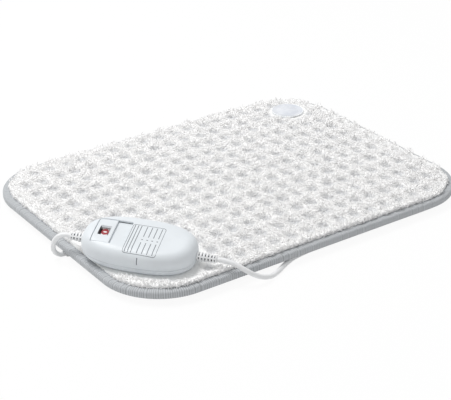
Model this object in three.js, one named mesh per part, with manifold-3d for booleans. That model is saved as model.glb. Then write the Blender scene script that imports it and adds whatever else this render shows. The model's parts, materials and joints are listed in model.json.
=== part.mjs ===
// Electric heating pad with a bound edge, a dimpled plush cover and a slide controller on its lead.
// Millimetres, +Z up. The origin is the middle of the underside, +X runs along the long side and
// +Y along the short side. The controller lies on the front left corner of the pad.
import * as THREE from 'three';
import { mergeVertices } from 'three/addons/utils/BufferGeometryUtils.js';
import Module from 'manifold-3d';

// Clearances
const GAP = 0.3;
const RUNNING_GAP = 0.5;

// Pad
const PAD_LENGTH = 440;
const PAD_WIDTH = 330;
const PAD_CORNER_RADIUS = 67;
const BOTTOM_COVER_THICKNESS = 1.6;
const LOWER_WADDING_THICKNESS = 3.4;
const CARRIER_THICKNESS = 0.8;
const HEATING_WIRE_DIAMETER = 2.2;
const HEATING_WIRE_PITCH = 25;
const UPPER_WADDING_THICKNESS = 3;
const TOP_CLOTH_THICKNESS = 2;
const PRESSED_COVER_THICKNESS = 1;
const PILE_HEIGHT = 4.6;
const PAD_CROWN = 2;
const DIMPLE_PITCH_X = 20.75;
const DIMPLE_PITCH_Y = 23.5;
const DIMPLE_OFFSET_X = -3;
const DIMPLE_OFFSET_Y = -3;
const FLAT_INSET = 30;
const WADDING_INSET = 31;
const SHOULDER_INSET = 12.5;
const UNDERSIDE_INSET = 22;
const UNDERSIDE_CURVE = 1.7;
const EDGE_PLUSH_SHARE = 0.5;
const EDGE_DIMPLE_SHARE = 0.35;
const LEAST_DIMPLE_SHARE = 0.4;
const SWELL_REACH = 0.4;
const SWELL_LIFT = 1.6;

// Tape binding round the edge
const BINDING_HEIGHT = 8;
const BINDING_LIP = 9;
const TAPE_THICKNESS = 1;
const TAPE_ROUND = 1.6;
const HEM_INSET = 2.4;
const TOP_HEM_THICKNESS = 2;
const EDGE_LIFT_OVER_CORD = 0.9;

// Parts sewn to the pad
const BADGE_DIAMETER = 40;
const BADGE_THICKNESS = 1.5;
const BADGE_EDGE_HEIGHT = 1.05;
const BADGE_RIM = 1.6;
const BADGE_DISH = 0.5;
const BADGE_FROM_RIGHT = 51;
const BADGE_FROM_BACK = 51;
const CUTOUT_LENGTH = 13;
const CUTOUT_WIDTH = 6;
const CUTOUT_X = 90;
const CRIMP_LENGTH = 18;
const CRIMP_WIDTH = 12;
const ENTRY_LENGTH = 8;
const ENTRY_WIDTH = 13;
const ENTRY_WALL = 1;
const ENTRY_Y = -17;
const ENTRY_INSET = 3.4;

// Controller
const CONTROLLER_LENGTH = 117;
const CONTROLLER_WIDTH = 62;
const CONTROLLER_SQUARENESS = 2.6;
const BOTTOM_SHELL_HEIGHT = 9.5;
const TOP_SHELL_HEIGHT = 15.7;
const TOP_SHOULDER = 20;
const BELLY = 9;
const SHELL_WALL = 2;
const CONTROLLER_FROM_LEFT = 49.6;
const CONTROLLER_FROM_FRONT = 76.8;
const CONTROLLER_HEADING = -50;
const CONTROLLER_ROLL = 13;
const CONTROLLER_PITCH = 2;

// Slide switch with its level drum
const LEVEL_STEP = 5;
const LEVEL_STEPS = 3;
const BUTTON_LENGTH = 19;
const BUTTON_WIDTH = 33.2;
const BUTTON_THICKNESS = 2.2;
const BUTTON_RECESS = 0.4;
const BUTTON_X = -35.5;
const APRON_THICKNESS = 1.2;
const APRON_OVERLAP = 1.6;
const WINDOW_LENGTH = 9.6;
const WINDOW_WIDTH = 10.4;
const DRUM_FACE = 8.6;
const DRUM_WIDTH = 10;
const DRUM_CHAMFER = 1.6;
const AXLE_RADIUS = 1.2;
const CHEEK_THICKNESS = 1.6;
const CHEEK_LENGTH = 7;
const ROLLER_WIDTH = 2.6;
const TRAY_WALL = 1.2;
const CONTACT_WIDTH = 4;
const CONTACT_THICKNESS = 0.6;
const WIPER_THICKNESS = 0.5;

// Circuit board and what is on it
const BOARD_LENGTH = 76;
const BOARD_WIDTH = 40;
const BOARD_THICKNESS = 1.6;
const BOARD_X = 3;
const BOARD_POST_HEIGHT = 2.6;
const BOARD_POST_RADIUS = 2.2;
const BOARD_POST_MARGIN = 5;
const FUSE_RADIUS = 2.6;
const FUSE_LENGTH = 20;
const CAPACITOR_SIZE = [13, 6, 9];
const TRIAC_SIZE = [10, 15, 4.4];
const RESISTOR_RADIUS = 1.8;
const RESISTOR_LENGTH = 9;
const MAINS_TERMINAL_SIZE = [8, 14, 7];
const PAD_TERMINAL_SIZE = [8, 14, 2.8];
const SCREW_HEAD_RADIUS = 2.8;
const SCREW_HEAD_HEIGHT = 2;
const SCREW_SHANK_RADIUS = 1.3;
const SCREW_LENGTH = 12;
const SCREW_RECESS = 1.8;
const SCREW_BOSS_WALL = 1.2;
const SCREW_POSITIONS = [[-22, 23], [-22, -23], [34, 17.5], [34, -17.5]];

// Leads
const CORD_DIAMETER = 5;
const MAINS_BOOT_LENGTH = 20;
const PAD_BOOT_LENGTH = 14;
const BOOT_BASE_RADIUS = 5;
const BOOT_TIP_RADIUS = 3.9;
const BOOT_NECK_RADIUS = 3.8;
const BOOT_FLANGE_RADIUS = 5;
const BOOT_FLANGE_THICKNESS = 2;
const BOOT_FLANGE_SETBACK = 2;
const BOOT_RIBS = 5;
const BOOT_RIB_DEPTH = 1.1;
const BOOT_RIB_SHARE = 0.62;
const CORD_STRAIGHT = 6;

// Coil of the mains lead that is put away
const COIL_X = 246;
const COIL_Y = -168;
const COIL_OUTER_RADIUS = 40.5;
const COIL_TURNS = 8;
const COIL_PITCH = 5.6;
const COIL_STEPS_PER_TURN = 24;
const COIL_SIDES = 6;
const COIL_TAIL = 30;
const COIL_TAIL_LEVEL = 13;
const TIE_WIDTH = 12;
const TIE_THICKNESS = 0.8;

// Flat two-pin plug
const PLUG_WIDTH = 35.3;
const PLUG_THICKNESS = 13.7;
const PLUG_LENGTH = 36;
const PLUG_FRONT_LENGTH = 14;
const PLUG_REAR_WIDTH = 15;
const PLUG_BEVEL = 1.5;
const PIN_SPACING = 19;
const PIN_RADIUS = 2;
const PIN_LENGTH = 19;
const PIN_SLEEVE_RADIUS = 1.9;
const PIN_SLEEVE_LENGTH = 10;
const PLUG_BOOT_LENGTH = 22;
const PLUG_BOOT_RADIUS = 5;

// Routes of the leads over the pad's edge, on the floor and under the bound edge
const PAD_LEAD_ROUTE = [
  [-226.2, -25.1, 29.2],
  [-229.3, -20.1, 22.5],
  [-229.8, -17.7, 15.6],
  [-229.2, -17.1, 10.4],
  [-226.2, -17, 5.7],
  [-221.4, -17, 3],
];
const MAINS_LEAD_ROUTE = [
  [-110.3, -162.8, 23.4],
  [-103.8, -169.6, 18.4],
  [-95.8, -174.6, 12.4],
  [-86.4, -177, 7.4],
  [-76, -176.2, 4.2],
  [-65.2, -172.4, 2.8],
  [-54.4, -167, 2.7],
  [-43, -161.6, 2.7],
  [-30, -157.4, 2.7],
  [-14, -155.3, 2.7],
  [10, -155, 2.7],
  [60, -155, 2.7],
  [110, -155, 2.7],
  [153, -155, 2.7],
  [164, -154.4, 2.7],
  [174, -152.6, 2.7],
  [183.6, -149.6, 2.7],
  [193.4, -145.4, 2.8],
  [203.4, -140.2, 3],
  [213.4, -134.8, 3.3],
  [223.8, -130.2, 3.5],
];

// Facet counts
const CORNER_STEPS = 8;
const CONTROLLER_OUTLINE_STEPS = 40;
const DOME_STEPS = 5;
const BELLY_STEPS = 3;
const ROUND_STEPS = 12;
const CORD_SIDES = 10;
const WIRE_SIDES = 6;
const WIRE_BEND_STEPS = 5;
const UNDERSIDE_STEPS = 4;
const COIL_TAIL_STEPS = 5;
const CORD_STEP_LENGTH = 12.5;
const LEAST_CORD_STEPS = 12;
const WELD_DISTANCE = 1e-4;

// Finishes
const finish = (color, roughness, metalness = 0) =>
  new THREE.MeshStandardMaterial({ color, roughness, metalness });
const PLUSH = finish(0xf3f2ef, 1);
const BACKING_CLOTH = finish(0xe6e5e2, 0.95);
const WADDING = finish(0xf4f2ea, 1);
const CARRIER_FLEECE = finish(0xe9e4d4, 1);
const WIRE_SHEATH = finish(0xd9c9a8, 0.6);
const TAPE = finish(0xa3a6aa, 0.85);
const BADGE_FILM = finish(0xcdd5dc, 0.45);
const SHELL_PLASTIC = finish(0xf2f3f4, 0.32);
const BUTTON_PLASTIC = finish(0xf5f5f6, 0.38);
const DRUM_PLASTIC = finish(0xfafafa, 0.4);
const CORD_JACKET = finish(0xefefee, 0.45);
const BOARD_LAMINATE = finish(0x2f6b45, 0.55);
const DARK_PLASTIC = finish(0x2b2c2e, 0.5);
const GREY_PLASTIC = finish(0x8a8d90, 0.5);
const BRASS = finish(0xc9a24a, 0.35, 1);
const STEEL = finish(0xb8babd, 0.3, 1);
const CAPACITOR_RESIN = finish(0xb9862f, 0.4);
const RESISTOR_COAT = finish(0x6f8fb5, 0.5);

const wasm = await Module();
wasm.setup();

const heatingPad = new THREE.Group();

// Geometry helpers

// Returns a closed indexed geometry whose faces point out.
function closedGeometry(points, triangles) {
  const volume = triangles.reduce((sum, [a, b, c]) => {
    const normal = new THREE.Vector3().crossVectors(points[b], points[c]);
    return sum + points[a].dot(normal);
  }, 0);
  const outward = volume < 0 ? triangles.map(([a, b, c]) => [a, c, b]) : triangles;
  const geometry = new THREE.BufferGeometry();
  const places = points.flatMap((point) => point.toArray());
  geometry.setAttribute('position', new THREE.Float32BufferAttribute(places, 3));
  geometry.setIndex(outward.flat());
  geometry.computeVertexNormals();
  return geometry;
}

// Joins rings of equally many points by bands, and closes the two ends or joins them to each other.
function loft(rings, endless = false) {
  const count = rings[0].length;
  const points = rings.flat();
  const triangles = [];
  const bands = endless ? rings.length : rings.length - 1;
  for (let band = 0; band < bands; band += 1) {
    const low = band * count;
    const high = ((band + 1) % rings.length) * count;
    for (let i = 0; i < count; i += 1) {
      const next = (i + 1) % count;
      triangles.push([low + i, low + next, high + next], [low + i, high + next, high + i]);
    }
  }
  if (!endless) {
    capRing(points, triangles, 0, count, true);
    capRing(points, triangles, (rings.length - 1) * count, count, false);
  }
  return closedGeometry(points, triangles);
}

// Closes a ring with a fan round its middle.
function capRing(points, triangles, start, count, reversed) {
  const middle = new THREE.Vector3();
  for (let i = 0; i < count; i += 1) {
    middle.addScaledVector(points[start + i], 1 / count);
  }
  const centre = points.push(middle) - 1;
  for (let i = 0; i < count; i += 1) {
    const next = start + ((i + 1) % count);
    triangles.push(reversed ? [next, start + i, centre] : [start + i, next, centre]);
  }
}

// Sweeps a regular section along a list of points, without twist.
function sweep(path, radius, sides) {
  const tangents = path.map((point, i) => {
    const before = path[Math.max(i - 1, 0)];
    const after = path[Math.min(i + 1, path.length - 1)];
    return new THREE.Vector3().subVectors(after, before).normalize();
  });
  const up = new THREE.Vector3(0, 0, 1);
  const rings = path.map((point, i) => {
    const side = new THREE.Vector3().crossVectors(up, tangents[i]).normalize();
    const lift = new THREE.Vector3().crossVectors(tangents[i], side);
    return Array.from({ length: sides }, (_, k) => {
      const angle = ((k + 0.5) / sides) * 2 * Math.PI;
      return point.clone()
        .addScaledVector(side, radius * Math.cos(angle))
        .addScaledVector(lift, radius * Math.sin(angle));
    });
  });
  return loft(rings);
}

function toManifold(geometry) {
  const bare = geometry.clone();
  bare.deleteAttribute('normal');
  bare.deleteAttribute('uv');
  const merged = mergeVertices(bare, WELD_DISTANCE);
  const mesh = new wasm.Mesh({
    numProp: 3,
    vertProperties: new Float32Array(merged.attributes.position.array),
    triVerts: new Uint32Array(merged.index.array),
  });
  return new wasm.Manifold(mesh);
}

function fromManifold(solid) {
  const mesh = solid.getMesh();
  const geometry = new THREE.BufferGeometry();
  geometry.setAttribute('position', new THREE.Float32BufferAttribute(mesh.vertProperties, 3));
  geometry.setIndex(Array.from(mesh.triVerts));
  geometry.computeVertexNormals();
  return geometry;
}

const cut = (body, ...tools) =>
  fromManifold(tools.reduce((solid, tool) => solid.subtract(toManifold(tool)), toManifold(body)));
const join = (...bodies) =>
  fromManifold(bodies.slice(1).reduce((solid, body) => solid.add(toManifold(body)), toManifold(bodies[0])));
const common = (body, other) => fromManifold(toManifold(body).intersect(toManifold(other)));

// Box between two corners.
function block(low, high) {
  const size = high.map((value, i) => value - low[i]);
  const middle = high.map((value, i) => (value + low[i]) / 2);
  return new THREE.BoxGeometry(...size).translate(...middle);
}

// Cylinder from a start point along a row axis.
function rod(axis, start, length, radius, steps = ROUND_STEPS) {
  const cylinder = new THREE.CylinderGeometry(radius, radius, length, steps).translate(0, length / 2, 0);
  if (axis === 'x') {
    cylinder.rotateZ(-Math.PI / 2);
  }
  if (axis === 'z') {
    cylinder.rotateX(Math.PI / 2);
  }
  return cylinder.translate(...start);
}

// Turned body along +X from a profile of [x, radius] pairs.
function turned(profile, steps = ROUND_STEPS) {
  const outline = profile.map(([x, radius]) => new THREE.Vector2(radius, x));
  return new THREE.LatheGeometry(outline, steps).rotateZ(-Math.PI / 2);
}

function add(group, name, geometry, material) {
  const mesh = new THREE.Mesh(geometry, material);
  mesh.name = name;
  group.add(mesh);
  return mesh;
}

// Heights of the pad's layers
const lowerWaddingZ = BOTTOM_COVER_THICKNESS + GAP;
const carrierZ = lowerWaddingZ + LOWER_WADDING_THICKNESS + GAP;
const wireZ = carrierZ + CARRIER_THICKNESS + GAP;
const upperWaddingZ = wireZ + HEATING_WIRE_DIAMETER + GAP;
const topCoverZ = upperWaddingZ + UPPER_WADDING_THICKNESS + GAP;
const pitZ = topCoverZ + TOP_CLOTH_THICKNESS;
const ridgeZ = pitZ + PILE_HEIGHT;
const bindingBottomZ = CORD_DIAMETER + EDGE_LIFT_OVER_CORD;
const bindingTopZ = bindingBottomZ + BINDING_HEIGHT;
const bottomHemZ = bindingBottomZ + TAPE_THICKNESS + GAP;
const topHemZ = bindingTopZ - TAPE_THICKNESS - GAP;

// Controller's place: it presses the plush down to the cloth at its lowest corner.
const controllerTurn = new THREE.Euler(
  THREE.MathUtils.degToRad(CONTROLLER_ROLL),
  THREE.MathUtils.degToRad(CONTROLLER_PITCH),
  THREE.MathUtils.degToRad(CONTROLLER_HEADING),
  'ZYX',
);

// Points of the controller's outline, drawn in by an inset, at one height.
function controllerRing(inset, z) {
  const halfLength = CONTROLLER_LENGTH / 2 - inset;
  const halfWidth = CONTROLLER_WIDTH / 2 - inset;
  const power = 2 / CONTROLLER_SQUARENESS;
  return Array.from({ length: CONTROLLER_OUTLINE_STEPS }, (_, i) => {
    const angle = (i / CONTROLLER_OUTLINE_STEPS) * 2 * Math.PI;
    const cosine = Math.cos(angle);
    const sine = Math.sin(angle);
    const x = halfLength * Math.sign(cosine) * Math.abs(cosine) ** power;
    const y = halfWidth * Math.sign(sine) * Math.abs(sine) ** power;
    return new THREE.Vector3(x, y, z);
  });
}

const lowestBaseDrop = Math.min(
  ...controllerRing(BELLY, 0).map((point) => point.applyEuler(controllerTurn).z),
);
const controllerZ = topCoverZ + PRESSED_COVER_THICKNESS + GAP - lowestBaseDrop;

const controller = new THREE.Group();
controller.position.set(
  CONTROLLER_FROM_LEFT - PAD_LENGTH / 2,
  CONTROLLER_FROM_FRONT - PAD_WIDTH / 2,
  controllerZ,
);
controller.rotation.copy(controllerTurn);
controller.updateMatrixWorld();
heatingPad.add(controller);

// Shell forms of the controller. The rise of a shoulder is a quarter of a squared-off oval.
function shoulder(steps) {
  const power = 2 / CONTROLLER_SQUARENESS;
  return Array.from({ length: steps + 1 }, (_, i) => {
    const angle = (i / steps) * (Math.PI / 2);
    return { inward: 1 - Math.cos(angle) ** power, rise: Math.sin(angle) ** power };
  });
}

// Upper half of the controller, drawn in by an offset, with a skirt below the parting line.
function upperForm(offset, skirt) {
  const rings = shoulder(DOME_STEPS).map(({ inward, rise }) => controllerRing(
    offset + TOP_SHOULDER * inward,
    BOTTOM_SHELL_HEIGHT + (TOP_SHELL_HEIGHT - offset) * rise,
  ));
  return loft([controllerRing(offset, BOTTOM_SHELL_HEIGHT - skirt), ...rings]);
}

// Lower half of the controller, drawn in by an offset, with a skirt above the parting line.
function lowerForm(offset, skirt) {
  const rings = shoulder(BELLY_STEPS).map(({ inward, rise }) => controllerRing(
    offset + BELLY * inward,
    BOTTOM_SHELL_HEIGHT - (BOTTOM_SHELL_HEIGHT - offset) * rise,
  ));
  return loft([controllerRing(offset, BOTTOM_SHELL_HEIGHT + skirt), ...rings]);
}

// Pad outline, drawn in by an inset, at one height.
function padRing(inset, z) {
  const radius = PAD_CORNER_RADIUS - inset;
  const reachX = PAD_LENGTH / 2 - PAD_CORNER_RADIUS;
  const reachY = PAD_WIDTH / 2 - PAD_CORNER_RADIUS;
  const corners = [[1, 1], [-1, 1], [-1, -1], [1, -1]];
  return corners.flatMap(([signX, signY], quarter) =>
    Array.from({ length: CORNER_STEPS + 1 }, (_, i) => {
      const angle = (quarter + i / CORNER_STEPS) * (Math.PI / 2);
      return new THREE.Vector3(
        signX * reachX + radius * Math.cos(angle),
        signY * reachY + radius * Math.sin(angle),
        z,
      );
    }));
}

const padSheet = (profile) => loft(profile.map(([inset, z]) => padRing(inset, z)));

// Height of the underside of the bottom cover: flat in the middle, rising to the hem.
function undersideZ(inset) {
  const share = Math.min(Math.max((FLAT_INSET - inset) / (FLAT_INSET - BINDING_LIP), 0), 1);
  return bottomHemZ * share ** UNDERSIDE_CURVE;
}

function makeBottomCover() {
  const slope = Array.from({ length: UNDERSIDE_STEPS + 1 }, (_, i) =>
    THREE.MathUtils.lerp(FLAT_INSET, BINDING_LIP, i / UNDERSIDE_STEPS));
  const lower = [...slope, HEM_INSET].map((inset) => [inset, undersideZ(inset)]);
  const upper = lower.map(([inset, z]) => [inset, z + BOTTOM_COVER_THICKNESS]).reverse();
  return padSheet([...lower, ...upper]);
}

function makeFlatLayer(z, thickness) {
  return padSheet([[WADDING_INSET, z], [WADDING_INSET, z + thickness]]);
}

function makeBinding() {
  const low = bindingBottomZ;
  const high = bindingTopZ;
  const inside = TAPE_THICKNESS;
  const profile = [
    [BINDING_LIP, low],
    [TAPE_ROUND, low],
    [0, low + TAPE_ROUND],
    [0, high - TAPE_ROUND],
    [TAPE_ROUND, high],
    [BINDING_LIP, high],
    [BINDING_LIP, high - TAPE_THICKNESS],
    [inside + TAPE_ROUND / 2, high - TAPE_THICKNESS],
    [inside, high - TAPE_ROUND - TAPE_THICKNESS / 2],
    [inside, low + TAPE_ROUND + TAPE_THICKNESS / 2],
    [inside + TAPE_ROUND / 2, low + TAPE_THICKNESS],
    [BINDING_LIP, low + TAPE_THICKNESS],
  ];
  return loft(profile.map(([inset, z]) => padRing(inset, z)), true);
}

// Dimpled plush cover

// Lines between the dimples, with the two outer edges.
function latticeLines(half, pitch, offset) {
  const first = Math.ceil((-half - offset) / pitch - 0.5);
  const lines = [-half];
  for (let k = first; offset + (k + 0.5) * pitch < half; k += 1) {
    const line = offset + (k + 0.5) * pitch;
    const clear = Math.min(line + half, half - line);
    if (clear > pitch / 4) {
      lines.push(line);
    }
  }
  return [...lines, half];
}

// Point of the rounded pad outline plan that belongs to a point of its bounding rectangle.
function roundedPlan(x, y, inset) {
  const radius = PAD_CORNER_RADIUS - inset;
  const overX = Math.abs(x) - (PAD_LENGTH / 2 - PAD_CORNER_RADIUS);
  const overY = Math.abs(y) - (PAD_WIDTH / 2 - PAD_CORNER_RADIUS);
  if (overX <= 0 || overY <= 0) {
    return [x, y];
  }
  const scale = Math.max(overX, overY) / Math.hypot(overX, overY);
  const bentX = Math.min(overX * scale, radius);
  const bentY = Math.min(overY * scale, radius);
  return [x - Math.sign(x) * (overX - bentX), y - Math.sign(y) * (overY - bentY)];
}

const smooth = (value) => THREE.MathUtils.smoothstep(value, 0, 1);

// Distance from the pad's outline, inwards.
function insetAt(x, y) {
  const overX = Math.abs(x) - (PAD_LENGTH / 2 - PAD_CORNER_RADIUS);
  const overY = Math.abs(y) - (PAD_WIDTH / 2 - PAD_CORNER_RADIUS);
  const outside = Math.hypot(Math.max(overX, 0), Math.max(overY, 0));
  const inside = Math.min(Math.max(overX, overY), 0);
  return PAD_CORNER_RADIUS - outside - inside;
}

// The plush stands up to meet the controller's underside and is pressed down by the badge.
function swollen(x, y, z) {
  const place = controller.worldToLocal(new THREE.Vector3(x, y, z));
  const across = Math.abs(place.y) / (CONTROLLER_WIDTH / 2);
  const along = Math.abs(place.x) / (CONTROLLER_LENGTH / 2);
  const sum = across ** CONTROLLER_SQUARENESS + along ** CONTROLLER_SQUARENESS;
  const weight = 1 - smooth((sum ** (1 / CONTROLLER_SQUARENESS) - 1) / SWELL_REACH);
  return z + weight * Math.max(SWELL_LIFT - place.z, 0);
}

function plushZ(x, y, depth) {
  const rise = smooth((insetAt(x, y) - BINDING_LIP) / (FLAT_INSET - BINDING_LIP));
  const bow = (1 - (2 * x / PAD_LENGTH) ** 2) * (1 - (2 * y / PAD_WIDTH) ** 2);
  const { lerp } = THREE.MathUtils;
  const ridge = lerp(bindingTopZ, ridgeZ, lerp(EDGE_PLUSH_SHARE, 1, rise));
  return swollen(x, y, ridge + PAD_CROWN * bow - depth * lerp(EDGE_DIMPLE_SHARE, 1, rise));
}

function makeTopCover() {
  const halfX = PAD_LENGTH / 2 - SHOULDER_INSET;
  const halfY = PAD_WIDTH / 2 - SHOULDER_INSET;
  const linesX = latticeLines(halfX, DIMPLE_PITCH_X, DIMPLE_OFFSET_X);
  const linesY = latticeLines(halfY, DIMPLE_PITCH_Y, DIMPLE_OFFSET_Y);
  const lastX = linesX.length - 1;
  const lastY = linesY.length - 1;
  const points = [];
  const triangles = [];
  const surface = (x, y, depth) => {
    const [planX, planY] = roundedPlan(x, y, SHOULDER_INSET);
    return points.push(new THREE.Vector3(planX, planY, plushZ(planX, planY, depth))) - 1;
  };
  const knots = linesX.map((x) => linesY.map((y) => surface(x, y, 0)));
  for (let i = 0; i < lastX; i += 1) {
    for (let j = 0; j < lastY; j += 1) {
      const width = (linesX[i + 1] - linesX[i]) / DIMPLE_PITCH_X;
      const depth = (linesY[j + 1] - linesY[j]) / DIMPLE_PITCH_Y;
      const full = smooth((Math.min(width, depth, 1) - LEAST_DIMPLE_SHARE) / (1 - LEAST_DIMPLE_SHARE));
      const middleX = (linesX[i] + linesX[i + 1]) / 2;
      const middleY = (linesY[j] + linesY[j + 1]) / 2;
      const pit = surface(middleX, middleY, PILE_HEIGHT * full);
      const ring = [knots[i][j], knots[i + 1][j], knots[i + 1][j + 1], knots[i][j + 1]];
      ring.forEach((knot, k) => triangles.push([knot, ring[(k + 1) % 4], pit]));
    }
  }
  const border = [
    ...linesX.slice(0, -1).map((x) => [x, -halfY]),
    ...linesY.slice(0, -1).map((y) => [halfX, y]),
    ...linesX.slice(1).reverse().map((x) => [x, halfY]),
    ...linesY.slice(1).reverse().map((y) => [-halfX, y]),
  ];
  const loop = [
    ...knots.slice(0, -1).map((column) => column[0]),
    ...knots[lastX].slice(0, -1),
    ...knots.slice(1).reverse().map((column) => column[lastY]),
    ...knots[0].slice(1).reverse(),
  ];
  const skirt = [
    [BINDING_LIP + GAP, bindingTopZ],
    [BINDING_LIP + GAP, topHemZ],
    [HEM_INSET, topHemZ],
    [HEM_INSET, topHemZ - TOP_HEM_THICKNESS],
    [(BINDING_LIP + UNDERSIDE_INSET) / 2, topHemZ - TOP_HEM_THICKNESS],
    [UNDERSIDE_INSET, topCoverZ],
  ];
  const rings = skirt.map(([inset, z]) => border.map(([x, y]) => {
    const grownX = x * (PAD_LENGTH / 2 - inset) / halfX;
    const grownY = y * (PAD_WIDTH / 2 - inset) / halfY;
    const [planX, planY] = roundedPlan(grownX, grownY, inset);
    return points.push(new THREE.Vector3(planX, planY, z)) - 1;
  }));
  [loop, ...rings].forEach((ring, level, all) => {
    const below = all[level + 1];
    if (below) {
      ring.forEach((knot, i) => {
        const next = (i + 1) % ring.length;
        triangles.push([below[i], below[next], ring[next]], [below[i], ring[next], knot]);
      });
    }
  });
  capRing(points, triangles, rings.at(-1)[0], border.length, true);
  return closedGeometry(points, triangles);
}

const inWorld = (geometry) => geometry.clone().applyMatrix4(controller.matrixWorld);

// Controller's outside, grown by the clearance, as the mark that it leaves in the plush.
const controllerMark = inWorld(join(upperForm(-GAP, GAP), lowerForm(-GAP, GAP)));

const badgeX = PAD_LENGTH / 2 - BADGE_FROM_RIGHT;
const badgeY = PAD_WIDTH / 2 - BADGE_FROM_BACK;
const badgeRadius = BADGE_DIAMETER / 2;
const badgeZ = ridgeZ - BADGE_THICKNESS;
const badgeRoom = PILE_HEIGHT + PAD_CROWN + BADGE_THICKNESS;
const badgeHollow = rod('z', [badgeX, badgeY, badgeZ - GAP], badgeRoom, badgeRadius + GAP, 2 * ROUND_STEPS);

add(heatingPad, 'bottom_cover', makeBottomCover(), BACKING_CLOTH);
add(heatingPad, 'lower_wadding', makeFlatLayer(lowerWaddingZ, LOWER_WADDING_THICKNESS), WADDING);
add(heatingPad, 'heater_carrier', makeFlatLayer(carrierZ, CARRIER_THICKNESS), CARRIER_FLEECE);
add(heatingPad, 'upper_wadding', makeFlatLayer(upperWaddingZ, UPPER_WADDING_THICKNESS), WADDING);
add(heatingPad, 'edge_binding', makeBinding(), TAPE);

// Round badge with a raised rim
function makeBadge() {
  const rim = badgeRadius - BADGE_RIM;
  const outline = [
    [0, 0],
    [badgeRadius, 0],
    [badgeRadius, BADGE_EDGE_HEIGHT],
    [badgeRadius - BADGE_RIM / 2, BADGE_THICKNESS],
    [rim, BADGE_THICKNESS - BADGE_DISH],
    [0, BADGE_THICKNESS - BADGE_DISH],
  ].map(([radius, z]) => new THREE.Vector2(radius, z));
  return new THREE.LatheGeometry(outline, 2 * ROUND_STEPS).rotateX(Math.PI / 2);
}
add(heatingPad, 'round_badge', makeBadge(), BADGE_FILM).position.set(badgeX, badgeY, badgeZ);

// Heating element: one wire laid in an even number of runs, so that both ends come to the lead.
const wireReachX = PAD_LENGTH / 2 - WADDING_INSET - HEATING_WIRE_PITCH;
const wireReachY = PAD_WIDTH / 2 - WADDING_INSET - HEATING_WIRE_PITCH / 2;
const wireRuns = 2 * Math.floor((2 * wireReachY / HEATING_WIRE_PITCH + 1) / 2);
const wireAxisZ = wireZ + HEATING_WIRE_DIAMETER / 2;
const runY = (run) => (run - (wireRuns - 1) / 2) * HEATING_WIRE_PITCH;
const crimpX = -PAD_LENGTH / 2 + WADDING_INSET + CRIMP_LENGTH / 2 + GAP;
const tailX = -wireReachX - HEATING_WIRE_PITCH / 2;

// Quarter or half turn of the wire round a centre.
function wireBend(centreX, centreY, from, to) {
  const radius = HEATING_WIRE_PITCH / 2;
  return Array.from({ length: WIRE_BEND_STEPS + 1 }, (_, i) => {
    const angle = from + (to - from) * (i / WIRE_BEND_STEPS);
    return [centreX + radius * Math.cos(angle), centreY + radius * Math.sin(angle)];
  });
}

function makeHeatingWire() {
  const bend = HEATING_WIRE_PITCH / 2;
  const tailY = CRIMP_WIDTH / 2 + GAP;
  const plan = [
    [tailX, ENTRY_Y - tailY],
    ...wireBend(tailX + bend, runY(0) + bend, Math.PI, 1.5 * Math.PI),
  ];
  for (let run = 0; run < wireRuns - 1; run += 1) {
    const right = run % 2 === 0;
    const centreX = right ? wireReachX - bend : -wireReachX + bend;
    const turn = right ? [-Math.PI / 2, Math.PI / 2] : [1.5 * Math.PI, Math.PI / 2];
    plan.push(...wireBend(centreX, runY(run) + bend, ...turn));
  }
  plan.push(...wireBend(tailX + bend, runY(wireRuns - 1) - bend, Math.PI / 2, Math.PI));
  plan.push([tailX, ENTRY_Y + tailY]);
  const path = plan.map(([x, y]) => new THREE.Vector3(x, y, wireAxisZ));
  return sweep(path, HEATING_WIRE_DIAMETER / 2, WIRE_SIDES);
}
add(heatingPad, 'heating_wire', makeHeatingWire(), WIRE_SHEATH);

// Thermal cut-outs lie between two runs of the wire, one in each half of the pad.
[-1, 1].forEach((side, i) => {
  const low = [side * CUTOUT_X - CUTOUT_LENGTH / 2, -CUTOUT_WIDTH / 2, wireZ];
  const high = [side * CUTOUT_X + CUTOUT_LENGTH / 2, CUTOUT_WIDTH / 2, wireZ + HEATING_WIRE_DIAMETER];
  add(heatingPad, `thermal_cutout_${i + 1}`, block(low, high), DARK_PLASTIC);
});

add(heatingPad, 'crimp_block', block(
  [crimpX - CRIMP_LENGTH / 2, ENTRY_Y - CRIMP_WIDTH / 2, wireZ],
  [crimpX + CRIMP_LENGTH / 2, ENTRY_Y + CRIMP_WIDTH / 2, wireZ + HEATING_WIRE_DIAMETER],
), GREY_PLASTIC);

// Entry gland of the pad lead, sewn under the bound edge
const entryX = -PAD_LENGTH / 2 + ENTRY_INSET;
const entryTopZ = Math.min(bindingBottomZ, undersideZ(ENTRY_INSET + ENTRY_LENGTH)) - GAP;
const cordFloorZ = CORD_DIAMETER / 2 + GAP / 2;
function makeEntryGland() {
  const outline = new THREE.Shape([
    [0, -CORD_DIAMETER / 2 - ENTRY_WALL],
    [ENTRY_LENGTH, -ENTRY_WIDTH / 2],
    [ENTRY_LENGTH, ENTRY_WIDTH / 2],
    [0, CORD_DIAMETER / 2 + ENTRY_WALL],
  ].map(([x, y]) => new THREE.Vector2(x, y)));
  return new THREE.ExtrudeGeometry(outline, { depth: entryTopZ - GAP, bevelEnabled: false });
}
add(heatingPad, 'lead_entry_gland', makeEntryGland(), CORD_JACKET).position.set(entryX, ENTRY_Y, GAP);

// Controller shells

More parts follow.
